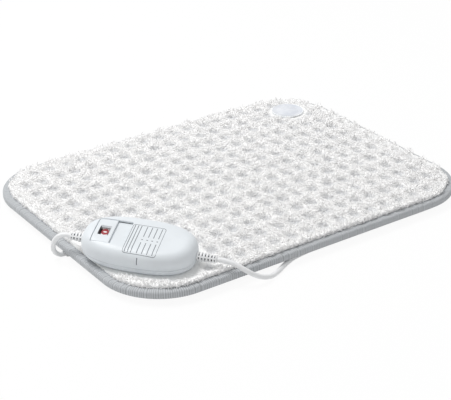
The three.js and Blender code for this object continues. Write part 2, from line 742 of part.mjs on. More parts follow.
const partingZ = BOTTOM_SHELL_HEIGHT;
const topZ = BOTTOM_SHELL_HEIGHT + TOP_SHELL_HEIGHT;
const innerTopZ = topZ - SHELL_WALL;
const halfLength = CONTROLLER_LENGTH / 2;
const travel = LEVEL_STEP * LEVEL_STEPS;
const slotStart = BUTTON_X - BUTTON_LENGTH / 2 - GAP;
const slotEnd = BUTTON_X + BUTTON_LENGTH / 2 + travel + GAP;
const slotHalfWidth = BUTTON_WIDTH / 2 + GAP;
const bootHole = rod('x', [-CONTROLLER_LENGTH, 0, partingZ], 2 * CONTROLLER_LENGTH, BOOT_NECK_RADIUS + GAP);
const bossRadius = SCREW_SHANK_RADIUS + GAP + SCREW_BOSS_WALL;
const screwSeatZ = SCREW_RECESS + SCREW_HEAD_HEIGHT;

function makeTopShell() {
  const shell = cut(upperForm(0, -GAP / 2), upperForm(SHELL_WALL, SHELL_WALL));
  const bosses = SCREW_POSITIONS.map(([x, y]) => common(
    rod('z', [x, y, partingZ + GAP / 2], TOP_SHELL_HEIGHT, bossRadius),
    upperForm(SHELL_WALL / 2, SHELL_WALL),
  ));
  const pilots = SCREW_POSITIONS.map(([x, y]) =>
    rod('z', [x, y, 0], screwSeatZ + SCREW_LENGTH + GAP, SCREW_SHANK_RADIUS + GAP));
  const slot = block(
    [slotStart, -slotHalfWidth, partingZ + TOP_SHELL_HEIGHT / 2],
    [slotEnd, slotHalfWidth, 2 * topZ],
  );
  return cut(join(shell, ...bosses), slot, bootHole, ...pilots);
}

const boardZ = SHELL_WALL + BOARD_POST_HEIGHT + GAP;
const boardTopZ = boardZ + BOARD_THICKNESS;
const postX = BOARD_LENGTH / 2 - BOARD_POST_MARGIN;
const postY = BOARD_WIDTH / 2 - BOARD_POST_MARGIN;
const postPlaces = [[1, 1], [1, -1], [-1, 1], [-1, -1]].map(([signX, signY]) =>
  [BOARD_X + signX * postX, signY * postY]);

function makeBottomShell() {
  const shell = cut(lowerForm(0, -GAP / 2), lowerForm(SHELL_WALL, SHELL_WALL));
  const headRadius = SCREW_HEAD_RADIUS + GAP;
  const bosses = SCREW_POSITIONS.map(([x, y]) => common(
    rod('z', [x, y, 0], partingZ - GAP / 2, headRadius + SCREW_BOSS_WALL),
    lowerForm(SHELL_WALL / 2, 0),
  ));
  const posts = postPlaces.map(([x, y]) =>
    rod('z', [x, y, SHELL_WALL / 2], SHELL_WALL / 2 + BOARD_POST_HEIGHT, BOARD_POST_RADIUS));
  const heads = SCREW_POSITIONS.map(([x, y]) =>
    rod('z', [x, y, -SHELL_WALL], SHELL_WALL + screwSeatZ + GAP, headRadius));
  const shanks = SCREW_POSITIONS.map(([x, y]) => rod('z', [x, y, 0], partingZ, SCREW_SHANK_RADIUS + GAP));
  return cut(join(shell, ...bosses, ...posts), bootHole, ...heads, ...shanks);
}

add(controller, 'controller_top_shell', makeTopShell(), SHELL_PLASTIC);
add(controller, 'controller_bottom_shell', makeBottomShell(), SHELL_PLASTIC);

SCREW_POSITIONS.forEach(([x, y], i) => {
  const screw = join(
    rod('z', [0, 0, 0], SCREW_HEAD_HEIGHT, SCREW_HEAD_RADIUS),
    rod('z', [0, 0, SCREW_HEAD_HEIGHT / 2], SCREW_HEAD_HEIGHT / 2 + SCREW_LENGTH, SCREW_SHANK_RADIUS),
  );
  add(controller, `shell_screw_${i + 1}`, screw, STEEL).position.set(x, y, SCREW_RECESS);
});

// Slide button: a cap flush with the shell's crown, with an apron that covers the rest of the slot
const buttonStart = BUTTON_X - BUTTON_LENGTH / 2;
const buttonEnd = BUTTON_X + BUTTON_LENGTH / 2;
const buttonUnderZ = topZ - BUTTON_RECESS - BUTTON_THICKNESS;
const apronTopZ = innerTopZ - RUNNING_GAP;
const apronUnderZ = apronTopZ - APRON_THICKNESS;
const apronEnd = slotEnd + APRON_OVERLAP;

function makeButton() {
  const halfWidth = BUTTON_WIDTH / 2;
  const cap = common(
    block([buttonStart, -halfWidth, apronUnderZ], [buttonEnd, halfWidth, 2 * topZ]),
    upperForm(BUTTON_RECESS, SHELL_WALL),
  );
  const hollow = block(
    [buttonStart + BUTTON_THICKNESS, -halfWidth + BUTTON_THICKNESS, 0],
    [buttonEnd - BUTTON_THICKNESS, halfWidth - BUTTON_THICKNESS, buttonUnderZ],
  );
  const apron = common(
    block([buttonEnd - BUTTON_THICKNESS, -halfWidth, apronUnderZ], [apronEnd, halfWidth, apronTopZ]),
    upperForm(SHELL_WALL + RUNNING_GAP, SHELL_WALL),
  );
  const opening = block(
    [BUTTON_X - WINDOW_LENGTH / 2, -WINDOW_WIDTH / 2, 0],
    [BUTTON_X + WINDOW_LENGTH / 2, WINDOW_WIDTH / 2, 2 * topZ],
  );
  return cut(join(cap, apron), hollow, opening);
}
add(controller, 'slide_button', makeButton(), BUTTON_PLASTIC);

// Four-sided level drum: it hangs in the carriage under the window and rolls a quarter turn per level.
const drumReach = Math.hypot(DRUM_FACE / 2, DRUM_FACE / 2 - DRUM_CHAMFER);
const axleZ = buttonUnderZ - RUNNING_GAP - drumReach;
const rollerRadius = LEVEL_STEP / (Math.PI / 2);
const cheekInner = DRUM_WIDTH / 2 + RUNNING_GAP;
const cheekOuter = cheekInner + CHEEK_THICKNESS;
const rollerStart = cheekOuter + RUNNING_GAP;
const rollerEnd = rollerStart + ROLLER_WIDTH;
const axleHole = rod('y', [BUTTON_X, -CONTROLLER_WIDTH, axleZ], 2 * CONTROLLER_WIDTH, AXLE_RADIUS + GAP);

function makeCarriage() {
  const plateTop = buttonUnderZ - GAP;
  const plateLow = plateTop - CHEEK_THICKNESS;
  const plateX = BUTTON_LENGTH / 2 - BUTTON_THICKNESS - GAP;
  const plate = block(
    [BUTTON_X - plateX, -cheekOuter, plateLow],
    [BUTTON_X + plateX, cheekOuter, plateTop],
  );
  const room = block(
    [BUTTON_X - drumReach - RUNNING_GAP, -cheekInner, 0],
    [BUTTON_X + drumReach + RUNNING_GAP, cheekInner, 2 * topZ],
  );
  const cheeks = block(
    [BUTTON_X - CHEEK_LENGTH / 2, -cheekOuter, axleZ - AXLE_RADIUS - CHEEK_THICKNESS],
    [BUTTON_X + CHEEK_LENGTH / 2, cheekOuter, plateLow + CHEEK_THICKNESS / 2],
  );
  return cut(join(plate, cheeks), room, axleHole);
}
add(controller, 'drum_carriage', makeCarriage(), DRUM_PLASTIC);

function makeDrum() {
  const half = DRUM_FACE / 2;
  const flat = half - DRUM_CHAMFER;
  const outline = new THREE.Shape([
    [half, -flat], [half, flat], [flat, half], [-flat, half],
    [-half, flat], [-half, -flat], [-flat, -half], [flat, -half],
  ].map(([x, z]) => new THREE.Vector2(x, z)));
  const bore = Array.from({ length: ROUND_STEPS }, (_, i) => {
    const angle = (i / ROUND_STEPS) * 2 * Math.PI;
    return new THREE.Vector2(Math.cos(angle), Math.sin(angle)).multiplyScalar(AXLE_RADIUS + GAP);
  });
  outline.holes.push(new THREE.Path(bore));
  const drum = new THREE.ExtrudeGeometry(outline, { depth: DRUM_WIDTH, bevelEnabled: false });
  return drum.rotateX(Math.PI / 2).translate(0, DRUM_WIDTH / 2, 0);
}
add(controller, 'level_drum', makeDrum(), DRUM_PLASTIC).position.set(BUTTON_X, 0, axleZ);
add(controller, 'drum_axle', rod('y', [BUTTON_X, -cheekOuter - RUNNING_GAP, axleZ],
  rollerEnd + cheekOuter + RUNNING_GAP, AXLE_RADIUS), STEEL);
add(controller, 'drum_roller', cut(
  rod('y', [BUTTON_X, rollerStart, axleZ], ROLLER_WIDTH, rollerRadius, 2 * ROUND_STEPS),
  axleHole,
), DARK_PLASTIC);

// Tray under the slot, with the rail that the roller runs on
const trayFloorTopZ = axleZ - drumReach - RUNNING_GAP;
const trayFloorZ = trayFloorTopZ - TRAY_WALL;
const trayHalfWidth = slotHalfWidth + GAP + TRAY_WALL;
const railTopZ = axleZ - rollerRadius - GAP;

function makeTray() {
  const low = [slotStart - TRAY_WALL, -trayHalfWidth, trayFloorZ];
  const high = [slotEnd + TRAY_WALL, trayHalfWidth, topZ];
  const hollow = block(
    [slotStart, -trayHalfWidth + TRAY_WALL, trayFloorTopZ],
    [slotEnd, trayHalfWidth - TRAY_WALL, 2 * topZ],
  );
  const apronPath = block(
    [slotEnd - TRAY_WALL, -trayHalfWidth - TRAY_WALL, apronUnderZ - RUNNING_GAP],
    [slotEnd + 2 * TRAY_WALL, trayHalfWidth + TRAY_WALL, 2 * topZ],
  );
  const rail = block(
    [slotStart - GAP, rollerStart, trayFloorZ + TRAY_WALL / 2],
    [slotEnd + GAP, rollerEnd, railTopZ],
  );
  const open = cut(common(block(low, high), upperForm(SHELL_WALL + GAP, SHELL_WALL)), hollow, apronPath);
  return join(open, rail);
}
add(controller, 'slide_tray', makeTray(), GREY_PLASTIC);

// Contact strip on the tray's floor, and the wiper that the button carries over it
const contactY = -cheekOuter - RUNNING_GAP - CONTACT_WIDTH / 2 - AXLE_RADIUS;
const contactZ = trayFloorTopZ + GAP;
add(controller, 'contact_strip', block(
  [slotStart + GAP, contactY - CONTACT_WIDTH / 2, contactZ],
  [slotEnd - GAP, contactY + CONTACT_WIDTH / 2, contactZ + CONTACT_THICKNESS],
), BRASS);

function makeWiper() {
  const top = buttonUnderZ - GAP;
  const foot = contactZ + CONTACT_THICKNESS + GAP;
  const half = CONTACT_WIDTH / 2 - GAP;
  const stem = block(
    [BUTTON_X - WIPER_THICKNESS / 2, contactY - half, foot],
    [BUTTON_X + WIPER_THICKNESS / 2, contactY + half, top],
  );
  const shoe = block(
    [BUTTON_X - CONTACT_WIDTH / 2, contactY - half, foot],
    [BUTTON_X + CONTACT_WIDTH / 2, contactY + half, foot + WIPER_THICKNESS],
  );
  return join(stem, shoe);
}
add(controller, 'wiper_contact', makeWiper(), BRASS);

// Circuit board between the tray and the bottom shell
const onBoard = (size, x, y) => block(
  [x - size[0] / 2, y - size[1] / 2, boardTopZ + GAP],
  [x + size[0] / 2, y + size[1] / 2, boardTopZ + GAP + size[2]],
);
const lyingOnBoard = (length, radius, x) =>
  rod('y', [x, -length / 2, boardTopZ + GAP + radius], length, radius);
const boardEnd = BOARD_X + BOARD_LENGTH / 2;
const boardStart = BOARD_X - BOARD_LENGTH / 2;
const openStart = slotEnd + 2 * TRAY_WALL;

function makeBoard() {
  const board = block([boardStart, -BOARD_WIDTH / 2, boardZ], [boardEnd, BOARD_WIDTH / 2, boardTopZ]);
  const notches = SCREW_POSITIONS.map(([x, y]) =>
    rod('z', [x, y, 0], topZ, SCREW_HEAD_RADIUS + SCREW_BOSS_WALL + 2 * GAP));
  return cut(board, ...notches);
}
add(controller, 'circuit_board', makeBoard(), BOARD_LAMINATE);

const mainsTerminalX = boardEnd - MAINS_TERMINAL_SIZE[0] / 2;
add(controller, 'mains_terminal_block', onBoard(MAINS_TERMINAL_SIZE, mainsTerminalX, 0), GREY_PLASTIC);
const padTerminalX = boardStart + PAD_TERMINAL_SIZE[0] / 2;
add(controller, 'pad_terminal_block', onBoard(PAD_TERMINAL_SIZE, padTerminalX, 0), GREY_PLASTIC);
const fuseX = boardEnd - MAINS_TERMINAL_SIZE[0] - GAP - FUSE_RADIUS;
add(controller, 'fuse', lyingOnBoard(FUSE_LENGTH, FUSE_RADIUS, fuseX), STEEL);
const capacitorX = openStart + CAPACITOR_SIZE[0] / 2;
add(controller, 'film_capacitor', onBoard(CAPACITOR_SIZE, capacitorX, -BOARD_WIDTH / 4), CAPACITOR_RESIN);
const triacX = openStart + TRIAC_SIZE[0] / 2;
add(controller, 'triac', onBoard(TRIAC_SIZE, triacX, BOARD_WIDTH / 4), DARK_PLASTIC);
const resistorX = openStart + Math.max(CAPACITOR_SIZE[0], TRIAC_SIZE[0]) + GAP + RESISTOR_RADIUS;
add(controller, 'drop_resistor', lyingOnBoard(RESISTOR_LENGTH, RESISTOR_RADIUS, resistorX), RESISTOR_COAT);

// Ribbed strain relief boots at both ends of the controller
const bootStart = halfLength + GAP;

// Tapered sleeve with ribs and grooves, from its thick end to its tip, as [x, radius] pairs.
function ribbedTaper(start, length, baseRadius) {
  const pitch = length / (BOOT_RIBS + BOOT_RIB_SHARE);
  const onTaper = (x, depth) => {
    const share = (x - start) / length;
    return [x, THREE.MathUtils.lerp(baseRadius, BOOT_TIP_RADIUS, share) - depth];
  };
  const profile = [];
  for (let rib = 0; rib <= BOOT_RIBS; rib += 1) {
    const ribX = start + rib * pitch;
    const grooveX = ribX + pitch * BOOT_RIB_SHARE;
    profile.push(onTaper(ribX, 0), onTaper(grooveX, 0));
    if (rib < BOOT_RIBS) {
      profile.push(onTaper(grooveX, BOOT_RIB_DEPTH), onTaper(ribX + pitch, BOOT_RIB_DEPTH));
    }
  }
  profile.push([start + length, 0]);
  return profile;
}

function makeBoot(length) {
  const flangeEnd = halfLength - SHELL_WALL - BOOT_FLANGE_SETBACK;
  return turned([
    [flangeEnd - BOOT_FLANGE_THICKNESS, 0],
    [flangeEnd - BOOT_FLANGE_THICKNESS, BOOT_FLANGE_RADIUS],
    [flangeEnd, BOOT_FLANGE_RADIUS],
    [flangeEnd, BOOT_NECK_RADIUS],
    [bootStart, BOOT_NECK_RADIUS],
    ...ribbedTaper(bootStart, length, BOOT_BASE_RADIUS),
  ]);
}
const mainsBoot = add(controller, 'strain_relief_mains_side', makeBoot(MAINS_BOOT_LENGTH), CORD_JACKET);
mainsBoot.position.set(0, 0, partingZ);
const padBoot = add(controller, 'strain_relief_pad_side', makeBoot(PAD_BOOT_LENGTH), CORD_JACKET);
padBoot.position.set(0, 0, partingZ);
padBoot.rotation.set(0, 0, Math.PI);

// Plush cover, with the marks of the controller, its boots and the badge
controller.updateMatrixWorld(true);
const bootReach = bootStart + MAINS_BOOT_LENGTH + GAP;
const bootMark = rod('x', [-bootReach, 0, partingZ], 2 * bootReach, BOOT_BASE_RADIUS + 2 * GAP);
add(heatingPad, 'top_cover', cut(makeTopCover(), controllerMark, inWorld(bootMark), badgeHollow), PLUSH);

// Free leads

const circle = (radius, sides) => new THREE.Shape(Array.from({ length: sides }, (_, i) => {
  const angle = ((i + 0.5) / sides) * 2 * Math.PI;
  return new THREE.Vector2(radius * Math.cos(angle), radius * Math.sin(angle));
}));

function makeCord(points) {
  const path = new THREE.CatmullRomCurve3(points, false, 'centripetal');
  const steps = Math.max(LEAST_CORD_STEPS, Math.ceil(path.getLength() / CORD_STEP_LENGTH));
  const section = circle(CORD_DIAMETER / 2, CORD_SIDES);
  return new THREE.ExtrudeGeometry(section, { steps, bevelEnabled: false, extrudePath: path });
}

// Point ahead of a boot's tip, on the boot's axis.
function aheadOfBoot(side, distance) {
  const bootLength = side < 0 ? PAD_BOOT_LENGTH : MAINS_BOOT_LENGTH;
  const x = side * (bootStart + bootLength + distance);
  return new THREE.Vector3(x, 0, partingZ).applyMatrix4(controller.matrixWorld);
}

const routePoints = (route) => route.map((place) => new THREE.Vector3(...place));

const padLeadPoints = [
  aheadOfBoot(-1, GAP),
  aheadOfBoot(-1, CORD_STRAIGHT),
  ...routePoints(PAD_LEAD_ROUTE),
  new THREE.Vector3(entryX - GAP, ENTRY_Y, cordFloorZ),
];
add(heatingPad, 'pad_lead', makeCord(padLeadPoints), CORD_JACKET);

const coilLowZ = TIE_THICKNESS + GAP + CORD_DIAMETER / 2;
const coilStartX = COIL_X - CORD_DIAMETER;
const coilTopY = COIL_Y + COIL_OUTER_RADIUS;
const mainsLeadPoints = [
  aheadOfBoot(1, GAP),
  aheadOfBoot(1, CORD_STRAIGHT),
  ...routePoints(MAINS_LEAD_ROUTE),
  new THREE.Vector3(coilStartX - GAP - CORD_STRAIGHT, coilTopY, coilLowZ),
  new THREE.Vector3(coilStartX - GAP, coilTopY, coilLowZ),
];
add(heatingPad, 'mains_lead_run', makeCord(mainsLeadPoints), CORD_JACKET);

// Coil in two layers: it spirals in below, climbs in the half turn where it reverses and spirals out above.
const plugAxisZ = PLUG_THICKNESS / 2 + GAP;
const coilHighZ = coilLowZ + COIL_PITCH;

function coilPath() {
  const path = [new THREE.Vector3(coilStartX, coilTopY, coilLowZ)];
  const steps = COIL_TURNS * COIL_STEPS_PER_TURN;
  for (let step = 0; step <= steps; step += 1) {
    const turn = step / COIL_STEPS_PER_TURN;
    const middle = COIL_TURNS / 2;
    const radius = COIL_OUTER_RADIUS - COIL_PITCH * (middle - Math.abs(turn - middle));
    const angle = Math.PI / 2 - 2 * Math.PI * turn;
    const climb = smooth((turn - middle) * 2 + 0.5);
    path.push(new THREE.Vector3(
      COIL_X + radius * Math.cos(angle),
      COIL_Y + radius * Math.sin(angle),
      coilLowZ + COIL_PITCH * climb,
    ));
  }
  for (let step = 1; step <= COIL_TAIL_STEPS; step += 1) {
    const run = COIL_TAIL * (step / COIL_TAIL_STEPS);
    const drop = smooth((run - COIL_TAIL_LEVEL) / (COIL_TAIL - COIL_TAIL_LEVEL));
    path.push(new THREE.Vector3(COIL_X + run, coilTopY, coilHighZ + (plugAxisZ - coilHighZ) * drop));
  }
  path.push(new THREE.Vector3(COIL_X + COIL_TAIL + CORD_DIAMETER, coilTopY, plugAxisZ));
  return path;
}

// Least gap between turns, measured between points that lie more than half a turn apart.
function leastSelfGap(path, diameter) {
  const apart = COIL_STEPS_PER_TURN / 2;
  let least = Infinity;
  for (let i = 0; i < path.length - 1; i += 1) {
    for (let j = i + apart; j < path.length - 1; j += 1) {
      const line = new THREE.Line3(path[j], path[j + 1]);
      const nearest = line.closestPointToPoint(path[i], true, new THREE.Vector3());
      least = Math.min(least, nearest.distanceTo(path[i]));
    }
  }
  return least - diameter;
}

const coil = coilPath();
console.log(`mains lead coil: least gap between turns ${leastSelfGap(coil, CORD_DIAMETER).toFixed(2)} mm`);
add(heatingPad, 'mains_lead_coil', sweep(coil, CORD_DIAMETER / 2, COIL_SIDES), CORD_JACKET);

// Band that ties the coil
function makeCoilTie() {
  const inner = COIL_OUTER_RADIUS - COIL_PITCH * COIL_TURNS / 2 - CORD_DIAMETER / 2 - GAP;
  const outer = COIL_OUTER_RADIUS + CORD_DIAMETER / 2 + GAP;
  const high = coilHighZ + CORD_DIAMETER / 2 + GAP;
  const box = (grow) => [
    [inner - grow, TIE_THICKNESS - grow], [outer + grow, TIE_THICKNESS - grow],
    [outer + grow, high + grow], [inner - grow, high + grow],
  ].map(([x, z]) => new THREE.Vector2(x, z));
  const outline = new THREE.Shape(box(TIE_THICKNESS));
  outline.holes.push(new THREE.Path(box(0)));
  const band = new THREE.ExtrudeGeometry(outline, { depth: TIE_WIDTH, bevelEnabled: false });
  return band.rotateX(Math.PI / 2).translate(0, TIE_WIDTH / 2, 0);
}
const tie = add(heatingPad, 'coil_tie', makeCoilTie(), DARK_PLASTIC);
tie.position.set(COIL_X, COIL_Y, 0);
tie.rotation.z = -Math.PI / 2;

// Plug, lying flat beside the coil with its pins along +X
const plug = new THREE.Group();
plug.position.set(COIL_X + COIL_TAIL + CORD_DIAMETER + GAP, coilTopY, plugAxisZ);
heatingPad.add(plug);
const plugRear = PLUG_BOOT_LENGTH + GAP;
const plugFace = plugRear + PLUG_LENGTH;

function makePlugBoot() {
  const taper = ribbedTaper(-PLUG_BOOT_LENGTH, PLUG_BOOT_LENGTH, PLUG_BOOT_RADIUS);
  return turned([[-PLUG_BOOT_LENGTH, 0], ...taper]).rotateZ(Math.PI);
}
add(plug, 'plug_strain_relief', makePlugBoot(), CORD_JACKET);

function makePlugBody() {
  const shoulderX = PLUG_LENGTH - PLUG_FRONT_LENGTH;
  const half = PLUG_WIDTH / 2 - PLUG_BEVEL;
  const rear = PLUG_REAR_WIDTH / 2 - PLUG_BEVEL;
  const outline = new THREE.Shape();
  outline.moveTo(PLUG_BEVEL, -rear);
  outline.quadraticCurveTo(shoulderX / 2, -rear, shoulderX, -half);
  outline.lineTo(PLUG_LENGTH - PLUG_BEVEL, -half);
  outline.lineTo(PLUG_LENGTH - PLUG_BEVEL, half);
  outline.lineTo(shoulderX, half);
  outline.quadraticCurveTo(shoulderX / 2, rear, PLUG_BEVEL, rear);
  outline.closePath();
  const body = new THREE.ExtrudeGeometry(outline, {
    depth: PLUG_THICKNESS - 2 * PLUG_BEVEL,
    bevelThickness: PLUG_BEVEL,
    bevelSize: PLUG_BEVEL,
    bevelSegments: 2,
    curveSegments: 6,
  });
  return body.translate(plugRear, 0, PLUG_BEVEL - PLUG_THICKNESS / 2);
}
add(plug, 'plug_body', makePlugBody(), CORD_JACKET);

[-1, 1].forEach((side, i) => {
  const y = side * PIN_SPACING / 2;
  const sleeveStart = plugFace + GAP;
  const tipStart = sleeveStart + PIN_SLEEVE_LENGTH + GAP;
  const tipLength = PIN_LENGTH - PIN_SLEEVE_LENGTH;
  add(plug, `plug_pin_sleeve_${i + 1}`, rod('x', [sleeveStart, y, 0], PIN_SLEEVE_LENGTH, PIN_SLEEVE_RADIUS),
    DARK_PLASTIC);
  const tip = turned([
    [0, 0],
    [0, PIN_RADIUS],
    [tipLength - PIN_RADIUS / 2, PIN_RADIUS],
    [tipLength, PIN_RADIUS / 2],
    [tipLength, 0],
  ]);
  add(plug, `plug_pin_${i + 1}`, tip, BRASS).position.set(tipStart, y, 0);
});

export default heatingPad;
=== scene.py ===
"""Electric heating pad with a slide controller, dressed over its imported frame.

The cover, backing, binding, badge, controller and leads are made again as fine meshes. Every other node
keeps its solid and gets a finish of its own. Sizes are in millimetres, in the frame's axes, and become
metres when a mesh is made.
"""

from __future__ import annotations

import json
import logging
import math
from collections.abc import Callable, Sequence
from dataclasses import dataclass, field
from enum import Enum

import bmesh
import bpy
import numpy as np
from mathutils import Matrix, Vector

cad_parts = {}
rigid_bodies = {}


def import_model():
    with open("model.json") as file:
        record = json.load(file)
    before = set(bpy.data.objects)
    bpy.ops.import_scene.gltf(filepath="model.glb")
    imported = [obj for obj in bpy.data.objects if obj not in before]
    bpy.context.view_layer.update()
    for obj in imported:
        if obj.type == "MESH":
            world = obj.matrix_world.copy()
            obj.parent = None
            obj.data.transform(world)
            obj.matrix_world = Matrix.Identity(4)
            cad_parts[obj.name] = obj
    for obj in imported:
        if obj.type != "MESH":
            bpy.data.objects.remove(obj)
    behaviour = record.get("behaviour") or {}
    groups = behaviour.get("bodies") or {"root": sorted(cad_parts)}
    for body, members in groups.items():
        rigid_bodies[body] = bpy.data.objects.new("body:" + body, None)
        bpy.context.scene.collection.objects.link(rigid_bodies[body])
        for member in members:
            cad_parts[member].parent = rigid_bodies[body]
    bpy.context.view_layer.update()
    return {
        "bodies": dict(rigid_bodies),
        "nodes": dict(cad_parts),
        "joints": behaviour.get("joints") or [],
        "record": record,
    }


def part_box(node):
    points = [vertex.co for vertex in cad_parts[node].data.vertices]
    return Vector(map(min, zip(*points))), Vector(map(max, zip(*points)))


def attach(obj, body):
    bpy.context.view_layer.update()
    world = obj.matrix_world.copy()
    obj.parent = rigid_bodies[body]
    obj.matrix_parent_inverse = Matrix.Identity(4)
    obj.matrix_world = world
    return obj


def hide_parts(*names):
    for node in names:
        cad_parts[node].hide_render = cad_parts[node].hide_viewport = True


LOG = logging.getLogger("heating_pad")
MM = 0.001
NEAR_AXIS = 0.01

Array = np.ndarray
Face = tuple[int, ...]
Pair = tuple[float, float]
Triple = tuple[float, float, float]
Colour = Triple
Material = bpy.types.Material
Piece = bpy.types.Object
Socket = bpy.types.NodeSocket
Tree = bpy.types.NodeTree

WHITE: Colour = (1.0, 1.0, 1.0)


class Body(Enum):
    """Moving bodies of the frame."""

    PAD = "pad"
    SLIDER = "slider"
    DRUM = "drum"


class Ends(Enum):
    """What becomes of the two ends of a row of points or rings."""

    CLOSED = "closed"
    JOINED = "joined"
    OPEN = "open"


# Small helpers


def smooth(value: Array | float) -> Array:
    """Eases a share from 0 to 1, level at both ends."""
    share = np.clip(value, 0.0, 1.0)
    return share * share * (3.0 - 2.0 * share)


def blend(low: Array | float, high: Array | float, share: Array | float) -> Array:
    """Goes from low to high as the share goes from 0 to 1."""
    return low + (high - low) * share


def from_srgb(red: int, green: int, blue: int) -> Colour:
    """Turns a colour as a screen shows it, 0 to 255, into the linear colour that a shader takes."""
    shares = [channel / 255.0 for channel in (red, green, blue)]
    return tuple(s / 12.92 if s <= 0.04045 else ((s + 0.055) / 1.055) ** 2.4 for s in shares)


def tinted(colour: Colour, share: float) -> Colour:
    """Makes a colour darker or paler by a share."""
    return tuple(min(channel * share, 1.0) for channel in colour)


def rounded_path(points: Array, step: float) -> Array:
    """Draws one smooth line through points, evenly weighted by the root of their distances.

    Args:
        points: Points that the line passes through, in millimetres.
        step: Distance between the points of the result.

    Returns:
        Points along the line.
    """
    ends = np.vstack([2 * points[0] - points[1], points, 2 * points[-1] - points[-2]])
    line = []
    for four in zip(ends, ends[1:], ends[2:], ends[3:]):
        k = np.cumsum([0.0] + [math.sqrt(np.linalg.norm(b - a)) for a, b in zip(four, four[1:])])
        count = max(2, math.ceil(np.linalg.norm(four[2] - four[1]) / step))
        for t in np.linspace(k[1], k[2], count, endpoint=False):
            near = [blend(four[i], four[i + 1], (t - k[i]) / (k[i + 1] - k[i])) for i in range(3)]
            far = [blend(near[i], near[i + 1], (t - k[i]) / (k[i + 2] - k[i])) for i in range(2)]
            line.append(blend(*far, (t - k[1]) / (k[2] - k[1])))
    return np.array(line + [points[-1]])


# Meshes


def add_object(name: str, data: bpy.types.ID) -> Piece:
    """Makes an object of a mesh, curve, camera or lamp and puts it into the scene.

    Args:
        name: Name of the object.
        data: What it shows.

    Returns:
        The object.
    """
    thing = bpy.data.objects.new(name, data)
    bpy.context.scene.collection.objects.link(thing)
    return thing


def add_line(name: str, points: Array, ends: Ends) -> Piece:
    """Makes a line of edges, in millimetres, for a geometry tree to follow.

    Args:
        name: Name of the line.
        points: Its points.
        ends: Whether the last point is joined to the first.

    Returns:
        The line.
    """
    count = len(points)
    edges = [(i, (i + 1) % count) for i in range(count if ends is Ends.JOINED else count - 1)]
    mesh = bpy.data.meshes.new(name)
    mesh.from_pydata((np.asarray(points) * MM).tolist(), edges, [])
    return add_object(name, mesh)


def new_piece(name: str, points: Array, faces: Sequence[Face], sharp: float = 40.0) -> Piece:
    """Makes a mesh object at the origin, with its place in its mesh.

    Args:
        name: Name of the piece.
        points: Its points in millimetres.
        faces: Its faces, as indices of points.
        sharp: Angle in degrees past which an edge is drawn sharp.

    Returns:
        The new object.
    """
    mesh = bpy.data.meshes.new(name)
    mesh.from_pydata((np.asarray(points, float) * MM).tolist(), [], faces)
    mesh.update()
    piece = add_object(name, mesh)
    face_out(piece)
    shade(piece, sharp)
    return piece


def face_out(piece: Piece) -> None:
    """Turns every face of a closed piece outwards.

    Args:
        piece: Closed piece.
    """
    build = bmesh.new()
    build.from_mesh(piece.data)
    bmesh.ops.recalc_face_normals(build, faces=build.faces)
    build.to_mesh(piece.data)
    build.free()


def shade(piece: Piece, sharp: float) -> None:
    """Shades a piece smooth, with edges past an angle in degrees drawn sharp."""
    piece.data.shade_smooth()
    piece.data.set_sharp_from_angle(angle=math.radians(sharp))


def store(mesh: bpy.types.Mesh, name: str, kind: str, domain: str, values: Array) -> None:
    """Keeps values on a mesh's points or faces as a named attribute."""
    layer = mesh.attributes.new(name, kind, domain)
    layer.data.foreach_set("vector" if kind == "FLOAT_VECTOR" else "value", np.ravel(values))


def evaluated_mesh(piece: Piece) -> bpy.types.Mesh:
    """Gives a piece's shape, with its modifiers applied, as a mesh of its own."""
    graph = bpy.context.evaluated_depsgraph_get()
    return bpy.data.meshes.new_from_object(piece.evaluated_get(graph), depsgraph=graph)


def carve(piece: Piece, *cutters: Piece) -> Piece:
    """Cuts the cutters out of a piece, and removes them.

    Args:
        piece: Closed piece that is cut.
        cutters: Closed pieces that are taken away from it.

    Returns:
        The piece.
    """
    for cutter in cutters:
        tool = piece.modifiers.new("cut", "BOOLEAN")
        tool.operation = "DIFFERENCE"
        tool.solver = "EXACT"
        tool.object = cutter
    mesh = evaluated_mesh(piece)
    piece.modifiers.clear()
    piece.data = mesh
    for cutter in cutters:
        bpy.data.objects.remove(cutter)
    return piece


def grid_face(row: int, column: int, columns: int) -> Face:
    """Gives the corners of one cell of a grid of points that runs row after row."""
    low, high = row * columns + column, (row + 1) * columns + column
    return low, low + 1, high + 1, high


def band_faces(rows: int, columns: int, ends: Ends = Ends.CLOSED) -> list[Face]:
    """Gives the faces between rings of equally many points.

    Args:
        rows: Number of rings.
        columns: Points in each ring.
        ends: Whether the ends are closed, joined to each other or left open.

    Returns:
        Faces as indices of points, ring after ring.
    """
    faces = []
    for row in range(rows if ends is Ends.JOINED else rows - 1):
        low, high = row * columns, (row + 1) % rows * columns
        for i in range(columns):
            after = (i + 1) % columns
            faces.append((low + i, low + after, high + after, high + i))
    if ends is Ends.CLOSED:
        faces.append(tuple(range(columns))[::-1])
        faces.append(tuple(range((rows - 1) * columns, rows * columns)))
    return faces


def turned(name: str, profile: Sequence[Pair], steps: int = 48) -> Piece:
    """Turns a profile about the X axis.

    Args:
        name: Name of the piece.
        profile: Pairs of place along X and radius, from end to end.
        steps: Points round the axis.

    Returns:
        The closed piece.
    """
    angles = np.linspace(0.0, 2.0 * math.pi, steps, endpoint=False)
    rings = [np.column_stack([np.full(steps, x), r * np.cos(angles), r * np.sin(angles)]) for x, r in profile]
    return new_piece(name, np.vstack(rings), band_faces(len(rings), steps))


def place(piece: Piece, matrix: Matrix) -> Piece:
    """Moves a piece's mesh by a matrix, with the object kept at the origin.

    Args:
        piece: Piece that is moved.
        matrix: Matrix in metres.

    Returns:
        The piece.
    """
    piece.data.transform(matrix)
    piece.data.update()
    return piece


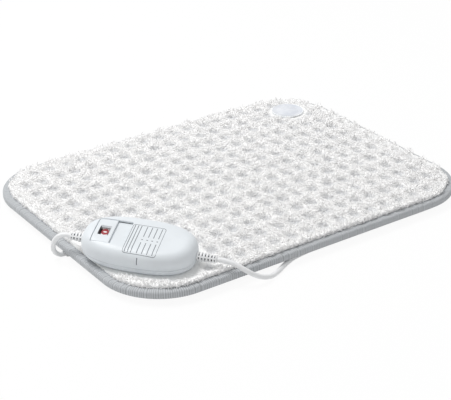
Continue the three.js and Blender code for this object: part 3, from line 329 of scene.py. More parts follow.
def join(name: str, parts: Sequence[Piece]) -> Piece:
    """Joins meshes into one piece.

    Args:
        name: Name of the result.
        parts: Pieces to join. They are removed.

    Returns:
        The joined piece.
    """
    with bpy.context.temp_override(active_object=parts[0], selected_editable_objects=list(parts)):
        bpy.ops.object.join()
    parts[0].name = name
    parts[0].data.name = name
    return parts[0]


# Shader and geometry trees


def add_node(tree: Tree, kind: str, settings: dict | None, inputs: dict | None) -> bpy.types.Node:
    """Adds one node to a tree.

    Args:
        tree: Shader, world or geometry tree.
        kind: Blender's name of the node's type.
        settings: Properties that are set first.
        inputs: Sockets to link, or numbers, vectors and colours to set, by name or place.

    Returns:
        The node.
    """
    made = tree.nodes.new(kind)
    for key, setting in (settings or {}).items():
        setattr(made, key, setting)
    for key, given in (inputs or {}).items():
        socket = made.inputs[key]
        if isinstance(given, Socket):
            tree.links.new(given, socket)
        else:
            socket.default_value = (*given, 1.0) if socket.type == "RGBA" else given
    return made


class Value:
    """One output of a shader tree, with Python's arithmetic on it."""

    def __init__(self, graph: ShaderGraph, socket: Socket) -> None:
        """Keeps the tree and the socket."""
        self.graph = graph
        self.socket = socket

    def _math(self, operation: str, first: Value | float, second: Value | float) -> Value:
        """Adds one Math node."""
        return self.graph.node("ShaderNodeMath", {"operation": operation}, {0: first, 1: second})

    def __add__(self, other: Value | float) -> Value:
        """Adds."""
        return self._math("ADD", self, other)

    __radd__ = __add__

    def __sub__(self, other: Value | float) -> Value:
        """Takes away."""
        return self._math("SUBTRACT", self, other)

    def __rsub__(self, other: float) -> Value:
        """Takes this away from a number."""
        return self._math("SUBTRACT", other, self)

    def __mul__(self, other: Value | float) -> Value:
        """Multiplies."""
        return self._math("MULTIPLY", self, other)

    __rmul__ = __mul__

    def sine(self) -> Value:
        """Takes the sine."""
        return self._math("SINE", self, 0.0)

    def between(self, low: float, high: float) -> Value:
        """Maps low to 0 and high to 1, eased and held at both ends."""
        limits = {"Value": self, "From Min": low, "From Max": high}
        return self.graph.node("ShaderNodeMapRange", {"interpolation_type": "SMOOTHSTEP"}, limits)


class ShaderGraph:
    """Node tree of one material."""

    def __init__(self, name: str) -> None:
        """Makes an empty material with an output.

        Args:
            name: Name of the material.
        """
        self.material = bpy.data.materials.new(name)
        self.material.use_nodes = True
        self.tree = self.material.node_tree
        self.tree.nodes.clear()
        self.output = self.tree.nodes.new("ShaderNodeOutputMaterial")

    def node(
        self, kind: str, settings: dict | None = None, inputs: dict | None = None, output: int | str = 0
    ) -> Value:
        """Adds one node.

        Args:
            kind: Blender's name of the node's type.
            settings: Properties that are set first.
            inputs: Numbers, colours or values for the sockets, by name or place.
            output: Name or place of the output that is wanted.

        Returns:
            That output as a value.
        """
        pairs = (inputs or {}).items()
        plain = {key: given.socket if isinstance(given, Value) else given for key, given in pairs}
        return Value(self, add_node(self.tree, kind, settings, plain).outputs[output])

    def place(self, scale: Triple = (1.0, 1.0, 1.0), turn: Triple = (0.0, 0.0, 0.0)) -> Value:
        """Gives the place on the piece, in metres times a scale, turned about the axes."""
        here = self.node("ShaderNodeTexCoord", output="Object")
        return self.node("ShaderNodeMapping", None, {"Vector": here, "Scale": scale, "Rotation": turn})

    def map(self, name: str) -> tuple[Value, Value]:
        """Gives the two coordinates of a UV map of the piece."""
        return self.parts(self.node("ShaderNodeUVMap", {"uv_map": name}))

    def parts(self, where: Value) -> tuple[Value, Value]:
        """Gives the first two coordinates of a place."""
        first = self.node("ShaderNodeSeparateXYZ", None, {0: where})
        return first, Value(self, first.socket.node.outputs[1])

    def noise(self, where: Value, scale: float, detail: float = 2.0, roughness: float = 0.5) -> Value:
        """Gives soft noise from 0 to 1."""
        inputs = {"Vector": where, "Scale": scale, "Detail": detail, "Roughness": roughness}
        return self.node("ShaderNodeTexNoise", None, inputs)

    def mix(self, share: Value | float, first: Value | Colour, second: Value | Colour) -> Value:
        """Mixes two colours."""
        return self.node("ShaderNodeMix", {"data_type": "RGBA"}, {0: share, 6: first, 7: second}, 2)

    def bump(self, height: Value, distance: float) -> Value:
        """Turns a height from 0 to 1 into a normal, for a relief of that many metres."""
        return self.node("ShaderNodeBump", None, {"Height": height, "Distance": distance, "Strength": 1.0})

    def close(self, inputs: dict, even: dict | None = None) -> Material:
        """Ends the tree in a Principled shader.

        Args:
            inputs: Sockets that vary over the surface.
            even: Sockets that are the same all over it.

        Returns:
            The material.
        """
        shader = self.node("ShaderNodeBsdfPrincipled", None, {**inputs, **(even or {})})
        self.tree.links.new(shader.socket, self.output.inputs["Surface"])
        return self.material


class GeometryTree:
    """Geometry node tree with named inputs for its sizes, which turns a carrier into a plain mesh."""

    def __init__(self, name: str) -> None:
        """Makes a tree with a geometry input and output.

        Args:
            name: Name of the tree.
        """
        self.tree = bpy.data.node_groups.new(name, "GeometryNodeTree")
        for way in ("INPUT", "OUTPUT"):
            self.tree.interface.new_socket("Geometry", in_out=way, socket_type="NodeSocketGeometry")
        self.entry = self.tree.nodes.new("NodeGroupInput")
        self.exit = self.tree.nodes.new("NodeGroupOutput")
        self.values: dict[str, float] = {}

    @property
    def carrier(self) -> Socket:
        """The carrier's geometry."""
        return self.entry.outputs["Geometry"]

    def size(self, name: str, value: float, whole: bool = False) -> Socket:
        """Adds a named input.

        Args:
            name: Name of the input.
            value: Its value.
            whole: True for a whole number.

        Returns:
            The input's socket inside the tree.
        """
        kind = "NodeSocketInt" if whole else "NodeSocketFloat"
        item = self.tree.interface.new_socket(name, in_out="INPUT", socket_type=kind)
        self.values[item.identifier] = value
        return self.entry.outputs[name]

    def node(
        self, kind: str, settings: dict | None = None, inputs: dict | None = None, output: int | str = 0
    ) -> Socket:
        """Adds one node and gives the output that is wanted, as a shader graph does."""
        return add_node(self.tree, kind, settings, inputs).outputs[output]

    def math(self, operation: str, *given: Socket | float) -> Socket:
        """Adds one Math node."""
        return self.node("ShaderNodeMath", {"operation": operation}, dict(enumerate(given)))

    def vector(self, operation: str, *given: Socket | Triple) -> Socket:
        """Adds one Vector Math node."""
        return self.node("ShaderNodeVectorMath", {"operation": operation}, dict(enumerate(given)))

    def random(self, low: float | Triple, high: float | Triple, seed: Socket) -> Socket:
        """Draws a number or a vector for each point."""
        kind, at, output = ("FLOAT_VECTOR", 0, 0) if isinstance(low, tuple) else ("FLOAT", 2, 1)
        return self.node(
            "FunctionNodeRandomValue", {"data_type": kind}, {at: low, at + 1: high, "Seed": seed}, output
        )

    def attribute(self, name: str, kind: str = "FLOAT") -> Socket:
        """Reads a named attribute."""
        return self.node("GeometryNodeInputNamedAttribute", {"data_type": kind}, {"Name": name})

    def keep(self, geometry: Socket, name: str, value: Socket, kind: str, domain: str) -> Socket:
        """Stores a value on the geometry as a named attribute."""
        inputs = {"Geometry": geometry, "Name": name, "Value": value}
        return self.node("GeometryNodeStoreNamedAttribute", {"data_type": kind, "domain": domain}, inputs)

    def grow(self, carrier: Piece, geometry: Socket, name: str, material: Material) -> Piece:
        """Ends the tree, runs it on a carrier and keeps the result as a plain mesh.

        Args:
            carrier: Object whose geometry goes into the tree.
            geometry: Socket with the tree's result.
            name: Name of the new piece.
            material: Material of the result.

        Returns:
            The new piece.
        """
        real = self.node("GeometryNodeRealizeInstances", None, {"Geometry": geometry})
        dressed = self.node("GeometryNodeSetMaterial", None, {"Geometry": real, "Material": material})
        self.tree.links.new(dressed, self.exit.inputs["Geometry"])
        modifier = carrier.modifiers.new(self.tree.name, "NODES")
        modifier.node_group = self.tree
        for identifier, value in self.values.items():
            modifier[identifier] = value
        mesh = evaluated_mesh(carrier)
        carrier.modifiers.remove(modifier)
        mesh.name = name
        return add_object(name, mesh)


# Finishes


@dataclass(frozen=True)
class Moulded:
    """Moulded plastic with a fine grain and faint cloudiness."""

    name: str
    colour: Colour
    roughness: float = 0.36
    grain: float = 0.02
    shine: float = 0.5
    coat: float = 0.0

    def make(self) -> Material:
        """Builds the material.

        Returns:
            The material.
        """
        graph = ShaderGraph(self.name)
        here = graph.place()
        cloud = graph.noise(here, 45.0, 3.0)
        grain = graph.noise(here, 5200.0, 1.0)
        shaded = tinted(self.colour, 0.955)
        inputs = {
            "Base Color": graph.mix(cloud.between(0.35, 0.7), shaded, self.colour),
            "Roughness": (cloud - 0.5) * 0.12 + self.roughness,
            "Normal": graph.bump(grain, self.grain * MM),
        }
        return graph.close(inputs, {"Specular IOR Level": self.shine, "Coat Weight": self.coat})


@dataclass(frozen=True)
class Jacket:
    """Soft cord jacket with faint smudges and a fine grain."""

    name: str
    colour: Colour
    roughness: float = 0.44

    def make(self) -> Material:
        """Builds the material.

        Returns:
            The material.
        """
        graph = ShaderGraph(self.name)
        here = graph.place()
        smudge = graph.noise(here, 70.0, 4.0, 0.6)
        grain = graph.noise(here, 2600.0, 2.0)
        shaded = tinted(self.colour, 0.93)
        inputs = {
            "Base Color": graph.mix(smudge.between(0.4, 0.7), shaded, self.colour),
            "Roughness": smudge * 0.16 + (self.roughness - 0.08),
            "Normal": graph.bump(grain, 0.03 * MM),
        }
        return graph.close(inputs, {"Specular IOR Level": 0.4})


@dataclass(frozen=True)
class Metal:
    """Plated or bare metal, drawn along one axis."""

    name: str
    colour: Colour
    roughness: float = 0.3

    def make(self) -> Material:
        """Builds the material.

        Returns:
            The material.
        """
        graph = ShaderGraph(self.name)
        drawn = graph.noise(graph.place((60.0, 900.0, 900.0)), 1.0, 3.0)
        tarnish = graph.noise(graph.place(), 260.0, 4.0, 0.6)
        dark = tinted(self.colour, 0.7)
        inputs = {
            "Base Color": graph.mix(tarnish.between(0.45, 0.75), self.colour, dark),
            "Roughness": drawn * 0.2 + (self.roughness - 0.1),
            "Normal": graph.bump(drawn, 0.01 * MM),
        }
        return graph.close(inputs, {"Metallic": 1.0})


@dataclass(frozen=True)
class Fleece:
    """Loose felted cloth, such as the layers inside the pad."""

    name: str
    colour: Colour

    def make(self) -> Material:
        """Builds the material.

        Returns:
            The material.
        """
        graph = ShaderGraph(self.name)
        here = graph.place()
        clump = graph.noise(here, 160.0, 4.0, 0.65)
        strand = graph.noise(here, 1500.0, 3.0, 0.7)
        dark = tinted(self.colour, 0.9)
        inputs = {
            "Base Color": graph.mix((clump * 0.6 + strand * 0.4).between(0.3, 0.65), dark, self.colour),
            "Roughness": strand * 0.15 + 0.85,
            "Normal": graph.bump(clump * 0.5 + strand * 0.5, 0.6 * MM),
        }
        return graph.close(inputs, {"Specular IOR Level": 0.15})


@dataclass(frozen=True)
class PlushGround:
    """Matted white fibres under the locks, with painted shade: greyer where the piece's own values say that a
    dimple's shade falls.
    """

    name: str
    colour: Colour
    # Grey of the painted shade in the dimples.
    dimple: Colour

    def make(self) -> Material:
        """Builds the material.

        Returns:
            The material.
        """
        graph = ShaderGraph(self.name)
        here = graph.place()
        pit = graph.node("ShaderNodeAttribute", {"attribute_name": "pit"}, output="Fac")
        clump = graph.noise(here, 240.0, 4.0, 0.65)
        strand = graph.noise(here, 1300.0, 3.0, 0.7)
        fibres = clump * 0.5 + strand * 0.5
        # Painted shade: the stored pit values, roughened by the fibre noise, grey the ground towards the
        # shade colour in the dimples.
        shaded = (pit + (fibres - 0.5) * 0.5).between(0.1, 1.0)
        inputs = {
            "Base Color": graph.mix(shaded, self.colour, self.dimple),
            "Roughness": strand * 0.12 + 0.85,
            "Normal": graph.bump(fibres, 0.9 * MM),
        }
        return graph.close(inputs, {"Specular IOR Level": 0.15})


@dataclass(frozen=True)
class Pile:
    """White locks of the plush, with painted shade: greyer towards the roots and in the dimples and partings.
    Its map gives the share of a lock's height and how grey the lock is.
    """

    name: str
    tip: Colour
    # Painted shade: the roots are a little greyer than the tips.
    root: Colour
    # Grey of the painted shade in dimples and partings, which the random tone also leans towards.
    dimple: Colour
    map_name: str = "pile"

    def make(self) -> Material:
        """Builds the material.

        Returns:
            The material.
        """
        graph = ShaderGraph(self.name)
        along, tone = graph.map(self.map_name)
        # Painted shade: greyer towards the root, then greyer by the map's second value, which holds painted
        # shade and a random tone.
        rising = graph.mix(along.between(-0.1, 0.75), self.root, self.tip)
        inputs = {
            "Base Color": graph.mix(tone, rising, self.dimple),
            "Roughness": tone * 0.12 + 0.8,
        }
        return graph.close(inputs, {"Specular IOR Level": 0.1})


@dataclass(frozen=True)
class Weave:
    """Plain woven backing cloth."""

    name: str
    colour: Colour
    thread: float = 0.7

    def make(self) -> Material:
        """Builds the material.

        Returns:
            The material.
        """
        graph = ShaderGraph(self.name)
        turns = 2.0 * math.pi / (self.thread * MM)
        along, across = graph.parts(graph.place())
        crossing = (along * turns).sine() * (across * turns).sine() * 0.5 + 0.5
        slub = graph.noise(graph.place((40.0, 900.0, 40.0)), 1.0, 3.0)
        dark = tinted(self.colour, 0.8)
        inputs = {
            "Base Color": graph.mix((crossing * 0.6 + slub * 0.4).between(0.2, 0.8), dark, self.colour),
            "Roughness": slub * 0.1 + 0.85,
            "Normal": graph.bump(crossing, 0.15 * MM),
        }
        return graph.close(inputs, {"Specular IOR Level": 0.2})


@dataclass(frozen=True)
class Tape:
    """Ribbed binding tape, with painted shade in the rib grooves and painted highlight on the crests. Its map
    runs along and across the tape, in metres.
    """

    name: str
    colour: Colour
    rib: float = 2.3
    map_name: str = "tape"

    def make(self) -> Material:
        """Builds the material.

        Returns:
            The material.
        """
        graph = ShaderGraph(self.name)
        along, across = graph.map(self.map_name)
        here = graph.place()
        wander = graph.noise(here, 90.0, 3.0, 0.6)
        ribs = (along * (2.0 * math.pi / (self.rib * MM))).sine() * 0.5 + 0.5
        yarns = (across * (2.0 * math.pi / (0.62 * MM))).sine() * 0.5 + 0.5
        fuzz = graph.noise(here, 2400.0, 3.0, 0.7)
        relief = ribs * 0.65 + yarns * 0.15 + fuzz * 0.2
        # Painted shade and highlight: the rib relief greys the grooves and pales the crests.
        dark = tinted(self.colour, 0.74)
        pale = tinted(self.colour, 1.12)
        rib_shade_and_highlight = graph.mix(relief.between(0.1, 0.85), dark, pale)
        inputs = {
            "Base Color": graph.mix(wander.between(0.4, 0.75) * 0.35, rib_shade_and_highlight, self.colour),
            "Roughness": fuzz * 0.2 + 0.72,
            "Normal": graph.bump(relief, 0.16 * MM),
        }
        return graph.close(inputs, {"Specular IOR Level": 0.25, "Sheen Weight": 0.15})


@dataclass(frozen=True)
class Film:
    """Pale tinted film of the badge, with a soft sweep of tone."""

    name: str
    pale: Colour
    tint: Colour

    def make(self) -> Material:
        """Builds the material.

        Returns:
            The material.
        """
        graph = ShaderGraph(self.name)
        here = graph.place()
        sweep = graph.noise(graph.place((55.0, 55.0, 55.0), (0.0, 0.0, 0.6)), 1.0, 2.0)
        fine = graph.noise(here, 3000.0, 1.0)
        inputs = {
            "Base Color": graph.mix(sweep.between(0.3, 0.7), self.pale, self.tint),
            "Roughness": sweep * 0.1 + 0.2,
            "Normal": graph.bump(fine, 0.01 * MM),
        }
        return graph.close(inputs, {"Specular IOR Level": 0.5, "Coat Weight": 0.4, "Coat Roughness": 0.1})


@dataclass(frozen=True)
class Laminate:
    """Circuit board with faint tracks under its mask."""

    name: str
    colour: Colour

    def make(self) -> Material:
        """Builds the material.

        Returns:
            The material.
        """
        graph = ShaderGraph(self.name)
        grid = {"Vector": graph.place(), "Scale": 260.0}
        tracks = graph.node("ShaderNodeTexVoronoi", {"distance": "MANHATTAN"}, grid).between(0.2, 0.35)
        dark = tinted(self.colour, 0.6)
        inputs = {
            "Base Color": graph.mix(tracks, self.colour, dark),
            "Roughness": tracks * 0.15 + 0.4,
            "Normal": graph.bump(1 - tracks, 0.04 * MM),
        }
        return graph.close(inputs)


class Finishes:
    """Every material of the part, by the record's slot."""

    # The ground's second colour is the grey of the painted shade in the dimples.
    GROUND = PlushGround("plush_ground", from_srgb(254, 254, 253), from_srgb(224, 225, 227))
    PRINT = Moulded("panel_print", from_srgb(104, 109, 115), 0.5)
    NUMERAL = Moulded("numeral_red", from_srgb(154, 18, 34), 0.4)
    # Painted shade: a dark plastic put on the window's left and far walls and on the boots' cores, where only
    # shade falls.
    DARK_GAP = Moulded("dark_gap", from_srgb(66, 68, 73), 0.6)
    BADGE_RIM = Moulded("badge_rim", from_srgb(242, 244, 246), 0.3)
    THREAD = Fleece("seam_thread", from_srgb(150, 153, 157))

    SLOTS = {
        # Pile colours: tip, root greyed by painted shade, and the grey of painted shade in dimples and
        # partings.
        "plush": Pile(
            "plush_pile", from_srgb(254, 254, 254), from_srgb(250, 249, 249), from_srgb(198, 198, 198)
        ),
        "backing_cloth": Weave("backing_cloth", from_srgb(232, 231, 227)),
        "wadding": Fleece("wadding", from_srgb(244, 242, 234)),
        "carrier_fleece": Fleece("carrier_fleece", from_srgb(233, 228, 212)),
        "wire_sheath": Jacket("wire_sheath", from_srgb(217, 201, 168)),
        "tape": Tape("binding_tape", from_srgb(184, 187, 190)),
        "badge_film": Film("badge_film", from_srgb(222, 225, 231), from_srgb(204, 209, 218)),
        "shell_plastic": Moulded("shell_plastic", from_srgb(222, 227, 231), 0.44, coat=0.05),
        "button_plastic": Moulded("button_plastic", from_srgb(221, 226, 230), 0.42),
        "drum_plastic": Moulded("drum_plastic", from_srgb(248, 247, 246), 0.4),
        "cord_jacket": Jacket("cord_jacket", from_srgb(238, 239, 240)),
        "board_laminate": Laminate("board_laminate", from_srgb(47, 107, 69)),
        "dark_plastic": Moulded("dark_plastic", from_srgb(43, 44, 46), 0.5),
        "grey_plastic": Moulded("grey_plastic", from_srgb(150, 153, 156), 0.5),
        "capacitor_plastic": Moulded("capacitor_plastic", from_srgb(185, 134, 47), 0.35),
        "brass": Metal("brass", from_srgb(201, 162, 74)),
        "steel": Metal("steel", from_srgb(184, 186, 189), 0.34),
    }

    def __init__(self) -> None:
        """Starts with no material made."""
        self._made: dict[str, Material] = {}

    def of(self, finish: Moulded | Fleece | PlushGround) -> Material:
        """Gives a finish's material, made on first use.

        Args:
            finish: The finish.

        Returns:
            Its material.
        """
        if finish.name not in self._made:
            self._made[finish.name] = finish.make()
        return self._made[finish.name]

    def slot(self, slot: str) -> Material:
        """Gives the material of one of the record's slots."""
        return self.of(self.SLOTS[slot])


# Stage


@dataclass
class Studio:
    """Camera at the photograph's angle, pale floor and soft light."""

    azimuth: float = -35.3
    elevation: float = 27.1
    distance: float = 1460.0
    focal_pixels: float = 1316.0
    image_width: float = 451.0
    move_right: float = -4.3
    move_up: float = -7.0
    sensor: float = 36.0
    clip_end: float = 100.0
    world_strength: float = 0.54
    lamp_place: Triple = (-0.52, 0.68, 1.92)
    lamp_size: float = 1.0
    lamp_power: float = 30.0
    floor_half: float = 4.0
    floor_colour: Colour = (0.9, 0.9, 0.9)
    floor_glow: float = 0.93
    light_bounces: int = 16

    def build(self) -> None:
        """Makes the camera, the world, the lamp and the floor."""
        scene = bpy.context.scene
        scene.view_settings.view_transform = "Standard"
        scene.cycles.max_bounces = self.light_bounces
        scene.cycles.diffuse_bounces = self.light_bounces
        scene.camera = self._camera()
        scene.world = self._world()
        self._lamp()
        self._floor()

    @staticmethod
    def _aim(thing: Piece, where: Vector, way: Vector) -> Piece:
        """Puts a camera or lamp at a place, looking one way.

        Args:
            thing: Camera or lamp.
            where: Its place in metres.
            way: Way it looks.

        Returns:
            The camera or lamp.
        """
        thing.location = where
        thing.rotation_mode = "QUATERNION"
        thing.rotation_quaternion = way.to_track_quat("-Z", "Y")
        return thing

    def _camera(self) -> Piece:
        """Places the camera.

        Returns:
            The camera.
        """
        turn, rise = math.radians(self.azimuth), math.radians(self.elevation)
        back = Vector((math.sin(turn) * math.cos(rise), -math.cos(turn) * math.cos(rise), math.sin(rise)))
        right = Vector((math.cos(turn), math.sin(turn), 0.0))
        up = back.cross(right)
        lens = bpy.data.cameras.new("photo_view")
        lens.sensor_width = self.sensor
        lens.lens = self.sensor * self.focal_pixels / self.image_width
        lens.clip_end = self.clip_end
        where = (back * self.distance + right * self.move_right + up * self.move_up) * MM
        return self._aim(add_object("photo_view", lens), where, -back)

    def _world(self) -> bpy.types.World:
        """Makes an even world that looks white to the camera and in reflections.

        Returns:
            The world.
        """
        world = bpy.data.worlds.new("studio_world")
        world.use_nodes = True
        tree = world.node_tree
        tree.nodes.clear()
        levels = {"Value": self._seen(tree), "To Min": self.world_strength, "To Max": 1.0}
        strength = add_node(tree, "ShaderNodeMapRange", None, levels)
        sky = add_node(tree, "ShaderNodeBackground", None, {"Color": WHITE, "Strength": strength.outputs[0]})
        add_node(tree, "ShaderNodeOutputWorld", None, {"Surface": sky.outputs[0]})
        return world

    @staticmethod
    def _seen(tree: Tree) -> Socket:
        """Gives 1 for rays of the camera, of reflections and through clear things, and 0 for others.

        Args:
            tree: Tree that the nodes go into.

        Returns:
            The socket with it.
        """
        path = tree.nodes.new("ShaderNodeLightPath")
        seen = path.outputs["Is Camera Ray"]
        for kind in ("Is Glossy Ray", "Is Transmission Ray"):
            either = {0: seen, 1: path.outputs[kind]}
            seen = add_node(tree, "ShaderNodeMath", {"operation": "MAXIMUM"}, either).outputs[0]
        return seen

    def _lamp(self) -> None:
        """Adds a square softbox that looks at the pad."""
        light = bpy.data.lights.new("key_softbox", "AREA")
        light.size = self.lamp_size
        light.energy = self.lamp_power
        where = Vector(self.lamp_place)
        self._aim(add_object("key_softbox", light), where, -where)

    def _floor(self) -> None:
        """Lays a pale floor that keeps the object's shadow."""
        half = self.floor_half
        mesh = bpy.data.meshes.new("floor")
        corners = [(-half, -half, 0.0), (half, -half, 0.0), (half, half, 0.0), (-half, half, 0.0)]
        mesh.from_pydata(corners, [], [(0, 1, 2, 3)])
        floor = add_object("floor", mesh)
        graph = ShaderGraph("pale_floor")
        matte = graph.node("ShaderNodeBsdfDiffuse", None, {"Color": self.floor_colour})
        glow = graph.node("ShaderNodeEmission", None, {"Color": WHITE, "Strength": 1.0})
        seen = Value(graph, self._seen(graph.tree)) * self.floor_glow
        blended = graph.node("ShaderNodeMixShader", None, {0: seen, 1: matte, 2: glow})
        graph.tree.links.new(blended.socket, graph.output.inputs["Surface"])
        mesh.materials.append(graph.material)


# Forms that several pieces share


@dataclass
class PadForm:
    """Outline and heights of the pad, read from the frame."""

    corner: float = 67.0
    lip: float = 9.0
    flat: float = 30.0
    length: float = field(init=False)
    width: float = field(init=False)
    binding_low: float = field(init=False)
    binding_top: float = field(init=False)

    def __post_init__(self) -> None:
        """Reads the bound edge's box."""
        low, high = (np.array(corner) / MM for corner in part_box("edge_binding"))
        self.length, self.width = high[:2] - low[:2]
        self.binding_low, self.binding_top = low[2], high[2]

    def inset(self, x: Array, y: Array) -> Array:
        """Gives the distance from the outline, inwards.

        Args:
            x: Places along the pad.
            y: Places across it.

        Returns:
            The distances.
        """
        over_x = np.abs(x) - (self.length / 2 - self.corner)
        over_y = np.abs(y) - (self.width / 2 - self.corner)
        outside = np.hypot(np.maximum(over_x, 0), np.maximum(over_y, 0))
        return self.corner - outside - np.minimum(np.maximum(over_x, over_y), 0)

    def outline(self, inset: float, step: float) -> Array:
        """Walks once round the outline, drawn in by an inset.

        Args:
            inset: Distance inwards.
            step: Distance between points on the full outline.

        Returns:
            Plan points, anticlockwise.
        """
        reach = np.array((self.length / 2 - self.corner, self.width / 2 - self.corner))
        radius, arc = self.corner - inset, math.pi / 2 * self.corner
        parts = []
        for quarter, signs in enumerate(((1, 1), (-1, 1), (-1, -1), (1, -1))):
            middle, run = reach * signs, 2 * reach[quarter % 2]
            bend = (quarter + np.linspace(0.0, 1.0, round(arc / step), endpoint=False)) * math.pi / 2
            parts.append(middle + radius * np.column_stack([np.cos(bend), np.sin(bend)]))
            end = (quarter + 1) * math.pi / 2
            start = middle + radius * np.array((math.cos(end), math.sin(end)))
            along = np.array((-math.sin(end), math.cos(end)))
            shares = np.linspace(0.0, 1.0, round(run / step), endpoint=False)
            parts.append(start + along * run * shares[:, None])
        return np.vstack(parts)

    def round_off(self, x: Array, y: Array, inset: float) -> tuple[Array, Array]:
        """Bends the corners of a rectangle of points onto the rounded outline.

        Args:
            x: Places along the pad.
            y: Places across it.
            inset: Inset of the outline.

        Returns:
            The places after it.
        """
        over_x = np.abs(x) - (self.length / 2 - self.corner)
        over_y = np.abs(y) - (self.width / 2 - self.corner)
        corner = (over_x > 0) & (over_y > 0)
        long_side = np.maximum(over_x, over_y)
        scale = np.where(corner, long_side / np.maximum(np.hypot(over_x, over_y), 1e-6), 1.0)
        limit = self.corner - inset
        new_x = np.where(corner, np.minimum(over_x * scale, limit), over_x)
        new_y = np.where(corner, np.minimum(over_y * scale, limit), over_y)
        return x - np.sign(x) * (over_x - new_x), y - np.sign(y) * (over_y - new_y)


@dataclass
class ControllerForm:
    """Outside of the controller, in its own axes, with its place read from the frame's joints."""

    joints: Sequence[dict]
    length: float = 117.0
    width: float = 62.0
    squareness: float = 2.6
    parting: float = 9.5
    top_height: float = 15.7
    shoulder: float = 13.0
    belly: float = 9.0
    button_x: float = -35.5
    axle_z: float = 17.0226
    mains_boot: float = 20.0
    pad_boot: float = 14.0
    axes: Array = field(init=False)
    origin: Array = field(init=False)

    def __post_init__(self) -> None:
        """Reads the slide's direction, the drum's axis and the drum's middle."""
        by_name = {joint["name"]: joint for joint in self.joints}
        along = np.array(by_name["level_slide"]["axis"])
        across = np.array(by_name["level_drum_turn"]["axis"])
        self.axes = np.array([along, across, np.cross(along, across)])
        middle = np.array(by_name["level_drum_turn"]["pos_m"]) / MM
        self.origin = middle - np.array([self.button_x, 0.0, self.axle_z]) @ self.axes

    @property
    def top(self) -> float:
        """Height of the crown."""
        return self.parting + self.top_height

    @property
    def matrix(self) -> Matrix:
        """Matrix from the controller's axes, in metres, to the frame."""
        turn = Matrix(self.axes.T.tolist()).to_4x4()
        return Matrix.Translation(Vector(self.origin * MM)) @ turn

    def boot_length(self, side: int) -> float:
        """Gives a boot's length, at the mains end for 1 and at the pad end for -1."""
        return self.mains_boot if side > 0 else self.pad_boot

    def to_frame(self, points: Array) -> Array:
        """Moves points from the controller's axes into the frame."""
        return np.asarray(points) @ self.axes + self.origin

    def to_local(self, points: Array) -> Array:
        """Moves points from the frame into the controller's axes."""
        return (np.asarray(points) - self.origin) @ self.axes.T

    def ring(self, inset: float, z: float, steps: int) -> Array:
        """Gives the outline, drawn in by an inset, at one height.

        Args:
            inset: Distance inwards.
            z: Height.
            steps: Number of points.

        Returns:
            Points of the ring.
        """
        angles = np.linspace(0.0, 2.0 * math.pi, steps, endpoint=False)
        ways = np.column_stack([np.cos(angles), np.sin(angles)])
        half = np.array([self.length / 2 - inset, self.width / 2 - inset])
        plan = half * np.sign(ways) * np.abs(ways) ** (2.0 / self.squareness)
        return np.column_stack([plan, np.full(steps, z)])

    def rounds(self, steps: int) -> list[Pair]:
        """Gives pairs of inward and upward shares along a shoulder."""
        power, angles = 2.0 / self.squareness, np.linspace(0.0, math.pi / 2, steps + 1)
        return [(1.0 - max(math.cos(a), 0.0) ** power, math.sin(a) ** power) for a in angles]

    def reach(self, x: Array, y: Array) -> Array:
        """Gives how far out a point lies, as a share of the outline."""
        along, across = np.abs(x) / (self.length / 2), np.abs(y) / (self.width / 2)
        return (along ** self.squareness + across ** self.squareness) ** (1.0 / self.squareness)

    def _rise(self, x: Array, y: Array, offset: float, depth: float) -> Array:
        """Gives the upward share of a shoulder of some depth at points of the plan.

        Args:
            x: Places along the controller.
            y: Places across it.
            offset: How far the outline is drawn in.
            depth: Reach of the shoulder inwards.

        Returns:
            The shares.
        """
        low, high = np.zeros_like(x, float), np.full_like(x, depth, float)
        for _ in range(28):
            middle = (low + high) / 2
            along = np.abs(x) / (self.length / 2 - offset - middle)
            across = np.abs(y) / (self.width / 2 - offset - middle)
            inside = along ** self.squareness + across ** self.squareness <= 1.0
            low, high = np.where(inside, middle, low), np.where(inside, high, middle)
        cosine = (1.0 - np.clip(low / depth, 0.0, 1.0)) ** (self.squareness / 2.0)
        return np.clip(1.0 - cosine ** 2, 0.0, 1.0) ** (1.0 / self.squareness)

    def dome(self, x: Array, y: Array, offset: float = 0.0) -> Array:
        """Gives the height of the upper outside, drawn in by an offset."""
        x, y = np.asarray(x, float), np.asarray(y, float)
        return self.parting + (self.top_height - offset) * self._rise(x, y, offset, self.shoulder)

    def underside(self, x: Array, y: Array) -> Array:
        """Gives the height of the lower outside."""
        x, y = np.asarray(x, float), np.asarray(y, float)
        return self.parting - self.parting * self._rise(x, y, 0.0, self.belly)

    def frame_underside(self, x: Array, y: Array) -> Array:
        """Gives the frame's height of the lower outside over points of the frame's plan.

        Args:
            x: Places along the pad.
            y: Places across it.

        Returns:
            The heights.
        """
        z = np.full_like(x, self.origin[2], float)
        for _ in range(8):
            local = self.to_local(np.column_stack([x, y, z]))
            z = z + (self.underside(local[:, 0], local[:, 1]) - local[:, 2]) / self.axes[2, 2]
        return z


def dress(piece: Piece, finishes: Finishes, slot: str, body: Body, *nodes: str) -> Piece:
    """Gives a piece its finish and body, and hides the nodes that it stands for.

    Args:
        piece: Finished piece.
        finishes: Materials of the part.
        slot: The record's material slot.
        body: Body that the piece rides on.
        nodes: Nodes that it replaces.

    Returns:
        The piece.
    """
    if not piece.data.materials:
        piece.data.materials.append(finishes.slot(slot))
    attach(piece, body.value)
    if nodes:
        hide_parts(*nodes)
    LOG.info("%s on %s", piece.name, body.value)
    return piece


# Leads


